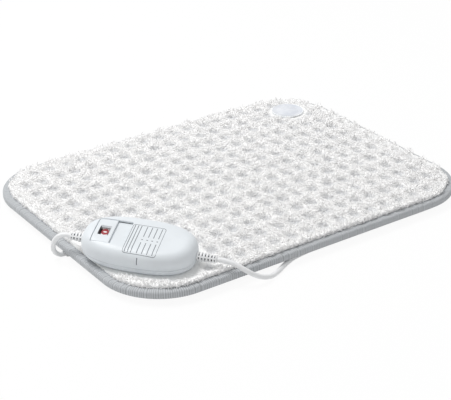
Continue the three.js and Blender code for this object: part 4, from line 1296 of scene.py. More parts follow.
@dataclass
class Leads:
    """Pad lead, and mains lead with its put-away coil."""

    controller: ControllerForm
    finishes: Finishes
    diameter: float = 5.0
    gap: float = 0.3
    straight: float = 6.0
    entry: Triple = (-216.9, -17.0, 2.65)
    pad_route: tuple[Triple, ...] = (
        (-226.2, -25.1, 29.2), (-229.3, -20.1, 22.5), (-229.8, -17.7, 15.6),
        (-229.2, -17.1, 10.4), (-226.2, -17.0, 5.7), (-221.4, -17.0, 3.0),
    )
    mains_route: tuple[Triple, ...] = (
        (-110.3, -162.8, 23.4), (-103.8, -169.6, 18.4), (-95.8, -174.6, 12.4),
        (-86.4, -177.0, 7.4), (-76.0, -176.2, 4.2), (-65.2, -172.4, 2.8),
        (-54.4, -167.0, 2.7), (-43.0, -161.6, 2.7), (-30.0, -157.4, 2.7),
        (-14.0, -155.3, 2.7), (10.0, -155.0, 2.7), (60.0, -155.0, 2.7),
        (110.0, -155.0, 2.7), (153.0, -155.0, 2.7), (164.0, -154.4, 2.7),
        (174.0, -152.6, 2.7), (183.6, -149.6, 2.7), (193.4, -145.4, 2.8),
        (203.4, -140.2, 3.0), (213.4, -134.8, 3.3), (223.8, -130.2, 3.5),
    )
    coil_x: float = 246.0
    coil_y: float = -168.0
    coil_radius: float = 40.5
    coil_turns: int = 8
    coil_pitch: float = 5.6
    coil_steps: int = 36
    coil_tail: float = 30.0
    coil_tail_level: float = 13.0
    tie_thickness: float = 0.8
    plug_axis: float = 7.15
    line_step: float = 1.5
    pad_line: Array = field(init=False)
    mains_line: Array = field(init=False)

    def __post_init__(self) -> None:
        """Draws both centre lines."""
        self.pad_line = self._drawn(-1, *self.pad_route, self.entry)
        start = np.array([self.coil_x - self.diameter, self.coil_y + self.coil_radius, self._coil_low])
        lead_in = start - np.array([self.straight + self.gap, 0.0, 0.0])
        run = self._drawn(1, *self.mains_route, lead_in, start)
        self.mains_line = np.vstack([run, self._coil()])

    def _drawn(self, side: int, *points: Triple | Array) -> Array:
        """Draws a lead's line straight out of a boot and on through points."""
        ahead = [self._ahead(side, distance) for distance in (self.gap, self.straight)]
        return rounded_path(np.array([*ahead, *points]), self.line_step)

    @property
    def _coil_low(self) -> float:
        """Height of the lower layer's middle."""
        return self.tie_thickness + self.gap + self.diameter / 2

    def _ahead(self, side: int, distance: float) -> Array:
        """Gives a point on a boot's axis, ahead of its tip."""
        x = side * (self.controller.length / 2 + self.gap + self.controller.boot_length(side) + distance)
        return self.controller.to_frame(np.array([x, 0.0, self.controller.parting]))

    def _coil(self) -> Array:
        """Winds the coil: it spirals in below, climbs where it turns back and spirals out above.

        Returns:
            Points of the coil and of its tail.
        """
        middle = self.coil_turns / 2
        turns = np.linspace(0.0, self.coil_turns, self.coil_turns * self.coil_steps + 1)
        radius = self.coil_radius - self.coil_pitch * (middle - np.abs(turns - middle))
        angles = math.pi / 2 - 2.0 * math.pi * turns
        climb = smooth((turns - middle) * 2.0 + 0.5)
        wound = np.column_stack([
            self.coil_x + radius * np.cos(angles),
            self.coil_y + radius * np.sin(angles),
            self._coil_low + self.coil_pitch * climb,
        ])
        high = self._coil_low + self.coil_pitch
        run = np.linspace(0.0, self.coil_tail, 13)[1:]
        drop = smooth((run - self.coil_tail_level) / (self.coil_tail - self.coil_tail_level))
        tail = np.column_stack([
            self.coil_x + run,
            np.full(len(run), self.coil_y + self.coil_radius),
            high + (self.plug_axis - high) * drop,
        ])
        end = (self.coil_x + self.coil_tail + self.diameter, self.coil_y + self.coil_radius, self.plug_axis)
        return np.vstack([wound, tail, [end]])

    def _cord(self, name: str, line: Array) -> Piece:
        """Makes a round cord along a line.

        Args:
            name: Name of the piece.
            line: Points along its middle.

        Returns:
            The cord.
        """
        curve = bpy.data.curves.new(name, "CURVE")
        curve.dimensions = "3D"
        curve.bevel_depth = self.diameter / 2 * MM
        curve.bevel_resolution = 5
        curve.use_fill_caps = True
        spline = curve.splines.new("POLY")
        spline.points.add(len(line) - 1)
        flat = np.column_stack([line * MM, np.ones(len(line))])
        spline.points.foreach_set("co", flat.ravel())
        spline.use_smooth = True
        return add_object(name, curve)

    def build(self) -> tuple[Piece, Piece]:
        """Makes both cords.

        Returns:
            The pad lead and the mains lead.
        """
        pad_lead = self._cord("pad_lead_cord", self.pad_line)
        dress(pad_lead, self.finishes, "cord_jacket", Body.PAD, "pad_lead")
        mains_lead = self._cord("mains_lead_cord", self.mains_line)
        dress(mains_lead, self.finishes, "cord_jacket", Body.PAD, "mains_lead_run", "mains_lead_coil")
        return pad_lead, mains_lead


# Pad


@dataclass
class PlushCover:
    """Dimpled teddy plush on top of the pad: a soft ground and the locks that stand on it."""

    pad: PadForm
    controller: ControllerForm
    leads: Leads
    finishes: Finishes
    pitch_x: float = 20.75
    pitch_y: float = 23.5
    offset_x: float = -3.0
    offset_y: float = -3.0
    ridge_z: float = 19.1
    crown: float = 2.0
    pit_depth: float = 5.4
    pit_sharpness: float = 1.5
    pit_floor: float = 13.0
    pit_cells: int = 64
    wave_count: int = 40
    lump_height: float = 0.3
    lump_span: float = 9.0
    nub_height: float = 0.25
    nub_span: float = 5.0
    rim_rise: float = 0.75
    rim_lean: float = 2.0
    rim_droop: float = -0.5
    rim_width: float = 9.0
    rim_ragged: float = 0.25
    rim_longer: float = 0.05
    sink: float = 0.8
    hem_inset: float = 8.4
    under_z: float = 12.5
    cell: float = 2.2
    bed_level: float = -2.2
    bed_slack: float = 0.6
    moat_low: float = 0.5
    moat_high: float = 10.0
    boot_half: float = 7.0
    boot_reach: float = 22.0
    boot_radius: float = 5.6
    boot_slack: float = 0.5
    cord_slack: float = 0.4
    badge_x: float = 169.0
    badge_y: float = 114.0
    badge_radius: float = 20.0
    badge_z: float = 17.6
    badge_ring: float = 1.0
    spacing: float = 1.15
    densest: float = 900000.0
    lock_length: float = 5.6
    lock_width: float = 1.2
    lock_shapes: int = 5
    lock_steps: int = 4
    lock_sides: int = 3
    shortest_share: float = 0.12
    lean: float = 0.85
    rise: float = 1.2
    nap: Triple = (-0.2, -0.3, 0.25)
    tuft_scale: float = 210.0
    tuft_pull: Triple = (4.2, 4.2, 0.6)
    scatter: Triple = (0.45, 0.45, 0.2)
    parting_scale: float = 420.0
    # Painted shade in the partings between tufts.
    parting_tone: float = 0.13
    chance_tone: float = 0.05
    side_tone: float = 0.04
    # Painted shade in the dimples, from the ground's pit values.
    pit_tone: float = 0.23
    strips: int = 8
    seed: int = 7

    def __post_init__(self) -> None:
        """Draws the seeded unevenness of the dimples and of the pile."""
        chance = np.random.default_rng(self.seed)
        cells = (self.pit_cells, self.pit_cells)
        self._shift = chance.uniform(-0.06, 0.06, (*cells, 2))
        self._deep = chance.uniform(0.8, 1.12, cells)
        self._waves = chance.uniform(-1.0, 1.0, (self.wave_count, 2))
        self._phase = chance.uniform(0.0, 2.0 * math.pi, self.wave_count)

    def _unevenness(self, x: Array, y: Array, span: float) -> Array:
        """Gives soft seeded waves of a chosen length, from about -1 to 1.

        Args:
            x: Places along the pad.
            y: Places across it.
            span: Length of the waves.

        Returns:
            The waves' heights.
        """
        total = np.zeros_like(x)
        for (way_x, way_y), phase in zip(self._waves, self._phase):
            total += np.sin((x * way_x + y * way_y) * 2.0 * math.pi / span + phase)
        return total / math.sqrt(self.wave_count)

    def _pit(self, x: Array, y: Array) -> Array:
        """Gives 1 at the middle of a dimple and 0 on the ridges between them.

        Args:
            x: Places along the pad.
            y: Places across it.

        Returns:
            The shares.
        """
        across, along = (x - self.offset_x) / self.pitch_x, (y - self.offset_y) / self.pitch_y
        column, row = np.round(across).astype(int), np.round(along).astype(int)
        cell = column % self.pit_cells, row % self.pit_cells
        shift = self._shift[cell]
        u = np.clip(across - column - shift[..., 0], -0.5, 0.5)
        v = np.clip(along - row - shift[..., 1], -0.5, 0.5)
        bowl = (np.cos(math.pi * u) * np.cos(math.pi * v)) ** self.pit_sharpness
        return bowl * self._deep[cell]

    def _free_height(self, x: Array, y: Array) -> Array:
        """Gives the ground's height where nothing lies on it.

        Args:
            x: Places along the pad.
            y: Places across it.

        Returns:
            The heights.
        """
        rise = smooth((self.pad.inset(x, y) - self.pad.lip) / (self.pad.flat - self.pad.lip))
        bow = (1.0 - (2.0 * x / self.pad.length) ** 2) * (1.0 - (2.0 * y / self.pad.width) ** 2)
        ridge = blend(self.pad.binding_top, self.ridge_z, blend(self.rim_rise, 1.0, rise))
        depth = self.pit_depth * blend(0.35, 1.0, rise) * self._pit(x, y)
        lumps = self.lump_height * self._unevenness(x, y, self.lump_span)
        lumps = lumps + self.nub_height * self._unevenness(y, x, self.nub_span)
        height = ridge + self.crown * bow - depth + lumps - self.sink * blend(0.4, 1.0, rise)
        return np.maximum(height, self.pit_floor)

    def _pressed(self, x: Array, y: Array, z: Array) -> tuple[Array, Array]:
        """Lets the controller, its boots, the leads and the badge press the ground.

        Args:
            x: Places along the pad.
            y: Places across the pad.
            z: Heights where nothing lies on the ground.

        Returns:
            The pressed heights, and the share of its length that the pile keeps there.
        """
        local = self.controller.to_local(np.column_stack([x, y, z]))
        reach = self.controller.reach(local[:, 0], local[:, 1])
        swell = 1.0 - smooth((reach - 1.0) / 0.4)
        z = z + swell * np.maximum(self.bed_level - local[:, 2], 0.0)
        proud = local[:, 2] - blend(self.moat_low, self.moat_high, smooth((reach - 1.0) / 0.5))
        z = np.maximum(z - np.maximum(proud, 0.0), self.pit_floor)
        under = reach < 1.0
        z = np.where(under, np.minimum(z, self.controller.frame_underside(x, y) - self.bed_slack), z)
        pile = smooth((reach - 1.03) / 0.2) * 0.6 + smooth((reach - 1.1) / 0.35) * 0.4
        boot_end = self.controller.length / 2 + self.boot_reach
        boot = (np.abs(local[:, 1]) < self.boot_half) & (np.abs(local[:, 0]) < boot_end)
        boot_low = self.controller.parting - self._half_height(self.boot_radius, local[:, 1])
        z = np.where(boot & ~under, np.minimum(z, z + boot_low - self.boot_slack - local[:, 2]), z)
        pile = np.where(boot, np.minimum(pile, 0.5), pile)
        for line in (self.leads.pad_line, self.leads.mains_line):
            z, pile = self._under_cord(line, x, y, z, pile)
        away = np.hypot(x - self.badge_x, y - self.badge_y) - self.badge_radius
        seat = 1.0 - smooth((away - 0.4) / 5.0)
        z = blend(z, self.badge_z - 0.5, seat)
        return z, np.minimum(pile, smooth((away - self.badge_ring) / 4.0))

    @staticmethod
    def _half_height(radius: float, away: Array) -> Array:
        """Gives half a round's height at a distance from its middle."""
        return np.sqrt(np.maximum(radius ** 2 - away ** 2, 0.0))

    def _under_cord(self, line: Array, x: Array, y: Array, z: Array, pile: Array) -> tuple[Array, Array]:
        """Keeps the ground and its pile below a cord.

        Args:
            line: Points along the cord's middle.
            x: Places along the pad.
            y: Places across it.
            z: Heights there.
            pile: Shares of its length that the pile keeps.

        Returns:
            The heights and the shares with the cord in place.
        """
        on_pad = line[self.pad.inset(line[:, 0], line[:, 1]) > 0.0]
        on_pad = on_pad[on_pad[:, 2] > self.pad.binding_top]
        if not len(on_pad):
            return z, pile
        radius = self.leads.diameter / 2
        gaps = np.hypot(x[:, None] - on_pad[None, :, 0], y[:, None] - on_pad[None, :, 1])
        nearest = gaps.argmin(axis=1)
        gap, middle = gaps[np.arange(len(x)), nearest], on_pad[nearest, 2]
        low = middle - self._half_height(radius, gap) - self.cord_slack
        room = np.clip((middle - radius - z) / self.lock_length, 0.0, 1.0)
        pile = np.where(gap < 2.0 * radius, np.minimum(pile, np.maximum(room, 0.3)), pile)
        return np.where(gap < radius + 0.6, np.minimum(z, low), z), pile

    def _outward(self, x: Array, y: Array) -> Array:
        """Gives the way in which the pile leans over the binding, out and a little down.

        Args:
            x: Places along the pad.
            y: Places across it.

        Returns:
            The ways, one for each place.
        """
        step = 0.5
        across = self.pad.inset(x - step, y) - self.pad.inset(x + step, y)
        along = self.pad.inset(x, y - step) - self.pad.inset(x, y + step)
        size = np.maximum(np.hypot(across, along), 1e-6)
        return self.rim_lean * np.column_stack([across / size, along / size, np.full(len(x), self.rim_droop)])

    def _ground(self) -> Piece:
        """Makes the ground as a closed body, with what the pile needs to know on its points and faces.

        Returns:
            The ground.
        """
        half_x, half_y = self.pad.length / 2 - self.hem_inset, self.pad.width / 2 - self.hem_inset
        columns, rows = round(2 * half_x / self.cell) + 1, round(2 * half_y / self.cell) + 1
        flat = np.meshgrid(np.linspace(-half_x, half_x, columns), np.linspace(-half_y, half_y, rows))
        x, y = self.pad.round_off(flat[0].ravel(), flat[1].ravel(), self.hem_inset)
        z, pile = self._pressed(x, y, self._free_height(x, y))
        top = np.column_stack([x, y, z])
        faces = [grid_face(row, column, columns) for row in range(rows - 1) for column in range(columns - 1)]
        rim = [*range(columns - 1), *range(columns - 1, rows * columns - 1, columns),
               *range(rows * columns - 1, (rows - 1) * columns, -1),
               *range((rows - 1) * columns, 0, -columns)]
        skirt = top[rim].copy()
        skirt[:, 2] = self.under_z
        count = len(top)
        for i in range(len(rim)):
            after = (i + 1) % len(rim)
            faces.append((rim[i], count + i, count + after, rim[after]))
        faces.append(tuple(range(count, count + len(rim))))
        ground = new_piece("plush_ground", np.vstack([top, skirt]), faces, 80.0)
        inset, pit = self.pad.inset(x, y), self._pit(x, y)
        rim_share = 1.0 - smooth((inset - self.pad.lip) / self.rim_width)
        ragged = np.clip(self._unevenness(x, y, self.lump_span), -1.0, 1.0)
        share = pile * blend(1.0, 0.5, np.clip(pit * 1.4, 0.0, 1.0))
        share = share * (1.0 + rim_share * (self.rim_ragged * ragged + self.rim_longer))
        # Painted shade: the pit values hold how far ground and locks are greyed in the dimples, less near the
        # edge and where pile is pressed; the skirt takes 0.6 of it.
        shaded = smooth((pit - 0.08) / 0.5) * blend(0.45, 1.0, smooth((inset - 12.0) / 14.0))
        for name, values in (("pile_share", share), ("pit", shaded * smooth(pile * 1.5))):
            store(ground.data, name, "FLOAT", "POINT", np.concatenate([values, 0.6 * values[rim]]))
        outward = self._outward(x, y) * rim_share[:, None]
        store(ground.data, "droop", "FLOAT_VECTOR", "POINT", np.vstack([outward, outward[rim]]))
        middles = np.array([np.mean([top[i][0] for i in face if i < count] or [0.0]) for face in faces])
        strip = ((middles + half_x) / (2 * half_x) * self.strips).astype(int).clip(0, self.strips - 1)
        strip[-1] = -1
        store(ground.data, "strip", "INT", "FACE", strip)
        return ground

    def _lock(self, number: int) -> Piece:
        """Makes one curled, tapered lock of fibres, with its share of height and its sides as attributes.

        Args:
            number: Which of the shapes to make. Each curls and swells in its own way.

        Returns:
            The lock, a metre-scaled mesh that stands on the origin.
        """
        chance = np.random.default_rng(self.seed + 100 + number)
        bends = math.radians(chance.uniform(90.0, 170.0))
        sway = math.radians(chance.uniform(-35.0, 35.0))
        steps, sides = self.lock_steps, self.lock_sides
        rings, at, angle = [], np.zeros(3), 0.0
        for step in range(steps):
            share = step / steps
            swell = 0.8 + 0.5 * math.sin(math.pi * min(share + 0.2, 1.0))
            girth = self.lock_width / 2 * swell * (1.0 - 0.55 * share)
            tilt = np.array([math.cos(angle), 0.0, -math.sin(angle)])
            side = np.array([0.0, 1.0, 0.0])
            spin = 2.0 * math.pi * (np.arange(sides) / sides) + sway * step
            rings.append(at + girth * (np.cos(spin)[:, None] * tilt + np.sin(spin)[:, None] * side))
            angle += bends / steps
            way = np.array([math.sin(angle), 0.25 * math.sin(sway * step), math.cos(angle)])
            at = at + way * self.lock_length / steps
        points = np.vstack([*rings, at[None, :]])
        last = (steps - 1) * sides
        faces = band_faces(steps, sides, Ends.OPEN)
        faces += [(last + i, last + (i + 1) % sides, len(points) - 1) for i in range(sides)]
        mesh = bpy.data.meshes.new(f"lock_{number}")
        mesh.from_pydata((points * MM).tolist(), [], faces)
        order = np.arange(len(points))
        store(mesh, "along", "FLOAT", "POINT", 0.02 + 0.96 * (order // sides) / steps)
        store(mesh, "around", "FLOAT", "POINT", (order % sides) / sides)
        return bpy.data.objects.new(f"lock_{number}", mesh)

    def _pile(self, ground: Piece, locks: bpy.types.Collection, strip: int) -> Piece:
        """Grows the locks of one strip of the pad.

        Args:
            ground: Ground that they stand on.
            locks: Shapes to choose from.
            strip: Number of the strip.

        Returns:
            The strip's locks as one piece.
        """
        tree = GeometryTree(f"plush_pile_{strip}")
        spacing = tree.size("Spacing", self.spacing * MM)
        lean = tree.size("Lean", self.lean)
        seed = tree.size("Seed", self.seed + strip, whole=True)
        wanted = tree.size("Strip", strip, whole=True)
        here = tree.node("FunctionNodeCompare", {"data_type": "INT", "operation": "EQUAL"},
                         {2: tree.attribute("strip", "INT"), 3: wanted})
        points = tree.node("GeometryNodeDistributePointsOnFaces", {"distribute_method": "POISSON"}, {
            "Mesh": tree.carrier, "Selection": here, "Distance Min": spacing,
            "Density Max": self.densest, "Seed": seed,
        }, "Points")
        where = tree.node("GeometryNodeInputPosition")
        # Painted shade: darker streaks in the partings between tufts and the painted shade of the dimples,
        # with a random tone, make each lock's grey.
        fine = tree.node("ShaderNodeTexNoise", None,
                         {"Vector": where, "Scale": self.parting_scale, "Detail": 1.0})
        parting = tree.node("ShaderNodeMapRange", None, {
            "Value": fine, "From Min": 0.48, "From Max": 0.68, "To Min": 0.0, "To Max": self.parting_tone,
        })
        parting_shade_and_chance = tree.math("ADD", parting, tree.random(0.0, self.chance_tone, seed))
        tone = tree.math("MULTIPLY_ADD", tree.attribute("pit"), self.pit_tone, parting_shade_and_chance)
        toned = tree.keep(points, "tone", tone, "FLOAT", "POINT")
        tufts = tree.node("ShaderNodeTexNoise", None,
                          {"Vector": where, "Scale": self.tuft_scale, "Detail": 2.0}, "Color")
        pull = tree.vector("MULTIPLY", tree.vector("SUBTRACT", tufts, (0.5, 0.5, 0.5)), self.tuft_pull)
        least = tuple(-reach for reach in self.scatter)
        loose = tree.vector("ADD", pull, tree.random(least, self.scatter, seed))
        leaned = tree.node("ShaderNodeVectorMath", {"operation": "SCALE"}, {0: loose, "Scale": lean})
        normal = points.node.outputs["Normal"]
        upright = tree.vector("MULTIPLY_ADD", normal, (self.rise, self.rise, self.rise), self.nap)
        risen = tree.vector("ADD", upright, tree.attribute("droop", "FLOAT_VECTOR"))
        aimed = tree.node("FunctionNodeAlignRotationToVector", {"axis": "Z"},
                          {"Vector": tree.vector("ADD", risen, leaned)})
        spin = tree.random((0.0, 0.0, 0.0), (0.0, 0.0, 2.0 * math.pi), seed)
        spun = tree.node("FunctionNodeEulerToRotation", None, {"Euler": spin})
        turned_by = tree.node("FunctionNodeRotateRotation", {"rotation_space": "LOCAL"},
                              {"Rotation": aimed, "Rotate By": spun})
        share = tree.attribute("pile_share")
        stands = tree.node("FunctionNodeCompare", {"data_type": "FLOAT", "operation": "GREATER_THAN"},
                           {0: share, 1: self.shortest_share})
        shapes = tree.node("GeometryNodeCollectionInfo", None,
                           {"Collection": locks, "Separate Children": True, "Reset Children": True})
        grown = tree.node("GeometryNodeInstanceOnPoints", None, {
            "Points": toned, "Selection": stands, "Instance": shapes, "Pick Instance": True,
            "Rotation": turned_by, "Scale": tree.math("MULTIPLY", share, tree.random(0.7, 1.2, seed)),
        })
        mapped = tree.node("GeometryNodeRealizeInstances", None, {"Geometry": grown})
        spread = tree.math("MULTIPLY_ADD", tree.attribute("around"), self.side_tone, tree.attribute("tone"))
        pair = tree.node("ShaderNodeCombineXYZ", None, {0: tree.attribute("along"), 1: spread})
        for name in ("pile", "OFBake"):
            mapped = tree.keep(mapped, name, pair, "FLOAT2", "CORNER")
        return tree.grow(ground, mapped, f"plush_pile_{strip + 1}", self.finishes.slot("plush"))

    def build(self) -> None:
        """Makes the ground and the pile on it."""
        ground = self._ground()
        locks = bpy.data.collections.new("lock_shapes")
        for number in range(self.lock_shapes):
            locks.objects.link(self._lock(number))
        for strip in range(self.strips):
            pile = self._pile(ground, locks, strip)
            dress(pile, self.finishes, "plush", Body.PAD)
        ground.data.materials.append(self.finishes.of(Finishes.GROUND))
        dress(ground, self.finishes, "plush", Body.PAD, "top_cover")


@dataclass
class EdgeBinding:
    """Ribbed tape folded round the pad's edge, with its rows of stitches."""

    pad: PadForm
    finishes: Finishes
    thickness: float = 1.0
    rounding: float = 2.6
    step: float = 0.7
    pucker: float = 0.22
    rib_pitch: float = 2.3
    rib_height: float = 0.08
    rib_wander: float = 1.5
    ripples: int = 14
    fewest_ripples: int = 60
    most_ripples: int = 240
    stitch_inset: float = 7.3
    stitch_pitch: float = 3.6
    stitch_length: float = 2.5
    stitch_width: float = 0.55
    seed: int = 11

    def _profile(self) -> list[Pair]:
        """Gives inset and height round the tape's section, outside first, then back inside.

        Returns:
            Pairs of inset and height.
        """
        low, high, lip = self.pad.binding_low, self.pad.binding_top, self.pad.lip
        outer = [(lip, low), (lip * 0.6, low)]
        outer += self._arc(low + self.rounding, -1.0)
        outer += self._arc(high - self.rounding, 1.0)
        outer += [(lip * 0.45, high), (lip * 0.72, high), (lip, high)]
        inner = [(max(inset, self.thickness) if inset < lip else inset,
                  min(max(z, low + self.thickness), high - self.thickness)) for inset, z in reversed(outer)]
        return outer + inner

    def _arc(self, middle: float, way: float) -> list[Pair]:
        """Gives a rounded edge of the section, up or down from a height."""
        radius, angles = self.rounding, np.linspace(0.0, math.pi / 2, 6)[::int(way)]
        return [(radius * (1.0 - math.cos(a)), middle + way * radius * math.sin(a)) for a in angles]

    def _ripple(self, shares: Array) -> Array:
        """Gives the tape's seeded waviness at shares of the way round, from about -1 to 1.

        Args:
            shares: Shares of the way round.

        Returns:
            The waviness there.
        """
        chance = np.random.default_rng(self.seed)
        waves = chance.integers(self.fewest_ripples, self.most_ripples, self.ripples)
        phases = chance.uniform(0.0, 2.0 * math.pi, self.ripples)
        total = sum(np.sin(shares * 2.0 * math.pi * n + phase) for n, phase in zip(waves, phases))
        return total / math.sqrt(self.ripples)

    def build(self) -> None:
        """Makes the tape and the stitches."""
        profile = self._profile()
        outline = self.pad.outline(0.0, self.step)
        inward = self.pad.outline(1.0, self.step) - outline
        count, sides = len(outline), len(profile)
        steps = np.linalg.norm(np.diff(outline, axis=0, append=outline[:1]), axis=1)
        runs = np.cumsum([0.0, *steps])
        ripple = self._ripple(runs[:-1] / runs[-1])
        ribs = self.rib_height * np.sin(runs[:-1] / self.rib_pitch * 2.0 * math.pi + self.rib_wander * ripple)
        across = np.gradient(np.array(profile), axis=0)
        across /= np.maximum(np.linalg.norm(across, axis=1), 1e-6)[:, None]
        points = np.zeros((count, sides, 3))
        for i, (inset, z) in enumerate(profile):
            top = smooth((z - self.pad.binding_low) / (self.pad.binding_top - self.pad.binding_low))
            swell = ribs if i < sides / 2 else np.zeros(count)
            moved = inset - swell * across[i, 1]
            loose = self.pucker * ripple * top * (1.0 if inset > 1.5 else 0.3)
            points[:, i, :2] = outline + inward * moved[:, None]
            points[:, i, 2] = z + swell * across[i, 0] + loose
        tape = new_piece("edge_tape", points.reshape(-1, 3), band_faces(count, sides, Ends.JOINED), 50.0)
        widths = np.cumsum([0.0, *(math.dist(a, b) for a, b in zip(profile, profile[1:] + profile[:1]))])
        lengths = runs + np.append(ripple, ripple[0]) * self.rib_wander * self.rib_pitch / (2.0 * math.pi)
        self._map(tape, sides, lengths * MM, widths * MM)
        dress(tape, self.finishes, "tape", Body.PAD, "edge_binding")
        for side, height in (("top", self.pad.binding_top), ("under", self.pad.binding_low)):
            stitches = self._stitches(side, height)
            dress(stitches, self.finishes, "tape", Body.PAD)

    @staticmethod
    def _map(tape: Piece, sides: int, lengths: Array, widths: Array) -> None:
        """Stores the map along and across the tape, by each face's own corners.

        Args:
            tape: The tape.
            sides: Points of its section.
            lengths: Lengths along it, in metres.
            widths: Widths across it, in metres.
        """
        layer = tape.data.uv_layers.new(name="tape")
        for polygon in tape.data.polygons:
            ring, side = divmod(polygon.index, sides)
            for loop in polygon.loop_indices:
                at_ring, at_side = divmod(tape.data.loops[loop].vertex_index, sides)
                layer.data[loop].uv = lengths[ring + (at_ring != ring)], widths[side + (at_side != side)]

    def _stitches(self, side: str, height: float) -> Piece:
        """Sews a row of stitches along the tape's inner edge.

        Args:
            side: Name of the side.
            height: Height of the tape there.

        Returns:
            The row as one piece.
        """
        plan = self.pad.outline(self.stitch_inset, self.stitch_pitch / 2)
        carrier = add_line("seam_line", np.column_stack([plan, np.full(len(plan), height)]), Ends.JOINED)
        tree = GeometryTree(f"binding_stitches_{side}")
        pitch = tree.size("Pitch", self.stitch_pitch * MM)
        length = tree.size("Length", self.stitch_length * MM)
        width = tree.size("Width", self.stitch_width * MM)
        curve = tree.node("GeometryNodeMeshToCurve", None, {"Mesh": tree.carrier})
        spaced = tree.node("GeometryNodeResampleCurve", {"mode": "LENGTH"}, {"Curve": curve, "Length": pitch})
        along = tree.node("GeometryNodeInputTangent")
        aimed = tree.node("FunctionNodeAlignRotationToVector", {"axis": "X"}, {"Vector": along})
        bead = tree.node("GeometryNodeMeshUVSphere", None, {"Segments": 6, "Rings": 5, "Radius": 0.5})
        shape = tree.node("ShaderNodeCombineXYZ", None, {0: length, 1: width, 2: width})
        sewn = tree.node("GeometryNodeInstanceOnPoints", None,
                         {"Points": spaced, "Instance": bead, "Rotation": aimed, "Scale": shape})
        row = tree.grow(carrier, sewn, f"binding_stitches_{side}", self.finishes.of(Finishes.THREAD))
        row.data.shade_smooth()
        bpy.data.objects.remove(carrier)
        return row


@dataclass
class PadBack:
    """Backing cloth under the pad, turned up to the hem."""

    pad: PadForm
    finishes: Finishes
    thickness: float = 1.6
    hem_inset: float = 2.4
    curve: float = 1.7
    hem_z: float = 7.2
    innermost: float = 90.0
    step: float = 3.0

    def build(self) -> None:
        """Makes the cloth as a closed sheet."""
        rising = np.linspace(self.pad.flat, self.pad.lip, 12)[1:]
        insets = [*np.linspace(self.innermost, self.pad.flat, 6), *rising, self.hem_inset]
        share = np.clip((self.pad.flat - np.array(insets)) / (self.pad.flat - self.pad.lip), 0.0, 1.0)
        low = list(zip(insets, self.hem_z * share ** self.curve))
        profile = low + [(inset, z + self.thickness) for inset, z in reversed(low)]
        rings = []
        for inset, z in profile:
            plan = self.pad.outline(min(inset, self.pad.corner - 1.0), self.step)
            extra = max(inset - self.pad.corner + 1.0, 0.0)
            plan = plan - np.sign(plan) * np.minimum(np.abs(plan), extra)
            rings.append(np.column_stack([plan, np.full(len(plan), z)]))
        faces = band_faces(len(rings), len(rings[0]))
        back = new_piece("pad_back_cloth", np.vstack(rings), faces, 60.0)
        dress(back, self.finishes, "backing_cloth", Body.PAD, "bottom_cover")


@dataclass
class Badge:
    """Round bare badge with a raised rim, sewn into the plush."""

    finishes: Finishes
    rim: float = 1.6
    dish: float = 0.5
    groove: float = 0.12
    swell: float = 0.1
    steps: int = 72

    def build(self) -> None:
        """Makes the disc from the frame's place and size."""
        low, high = (np.array(corner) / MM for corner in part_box("round_badge"))
        middle, radius, thick = (low + high) / 2, (high[0] - low[0]) / 2, high[2] - low[2]
        floor = thick - self.dish
        profile = [(0.0, NEAR_AXIS), (0.0, radius - 0.3), (0.25, radius), (thick * 0.55, radius)]
        profile += [(thick - 0.12, radius - 0.35), (thick, radius - 0.8)]
        profile += [(thick - 0.1, radius - self.rim * 0.8), (floor, radius - self.rim - 0.5)]
        profile += [(floor, radius * 0.72), (floor - self.groove, radius * 0.7)]
        profile += [(floor - self.groove, radius * 0.66), (floor, radius * 0.64)]
        profile += [(floor + self.swell, NEAR_AXIS)]
        disc = turned("badge_disc", profile, self.steps)
        turn = Matrix.Rotation(-math.pi / 2, 4, "Y")
        place(disc, Matrix.Translation(Vector((middle[0], middle[1], low[2])) * MM) @ turn)
        disc.data.materials.append(self.finishes.slot("badge_film"))
        disc.data.materials.append(self.finishes.of(Finishes.BADGE_RIM))
        for face in disc.data.polygons:
            x, y, _ = face.center / MM
            if math.hypot(x - middle[0], y - middle[1]) > radius - self.rim:
                face.material_index = 1
        dress(disc, self.finishes, "badge_film", Body.PAD, "round_badge")


# Controller


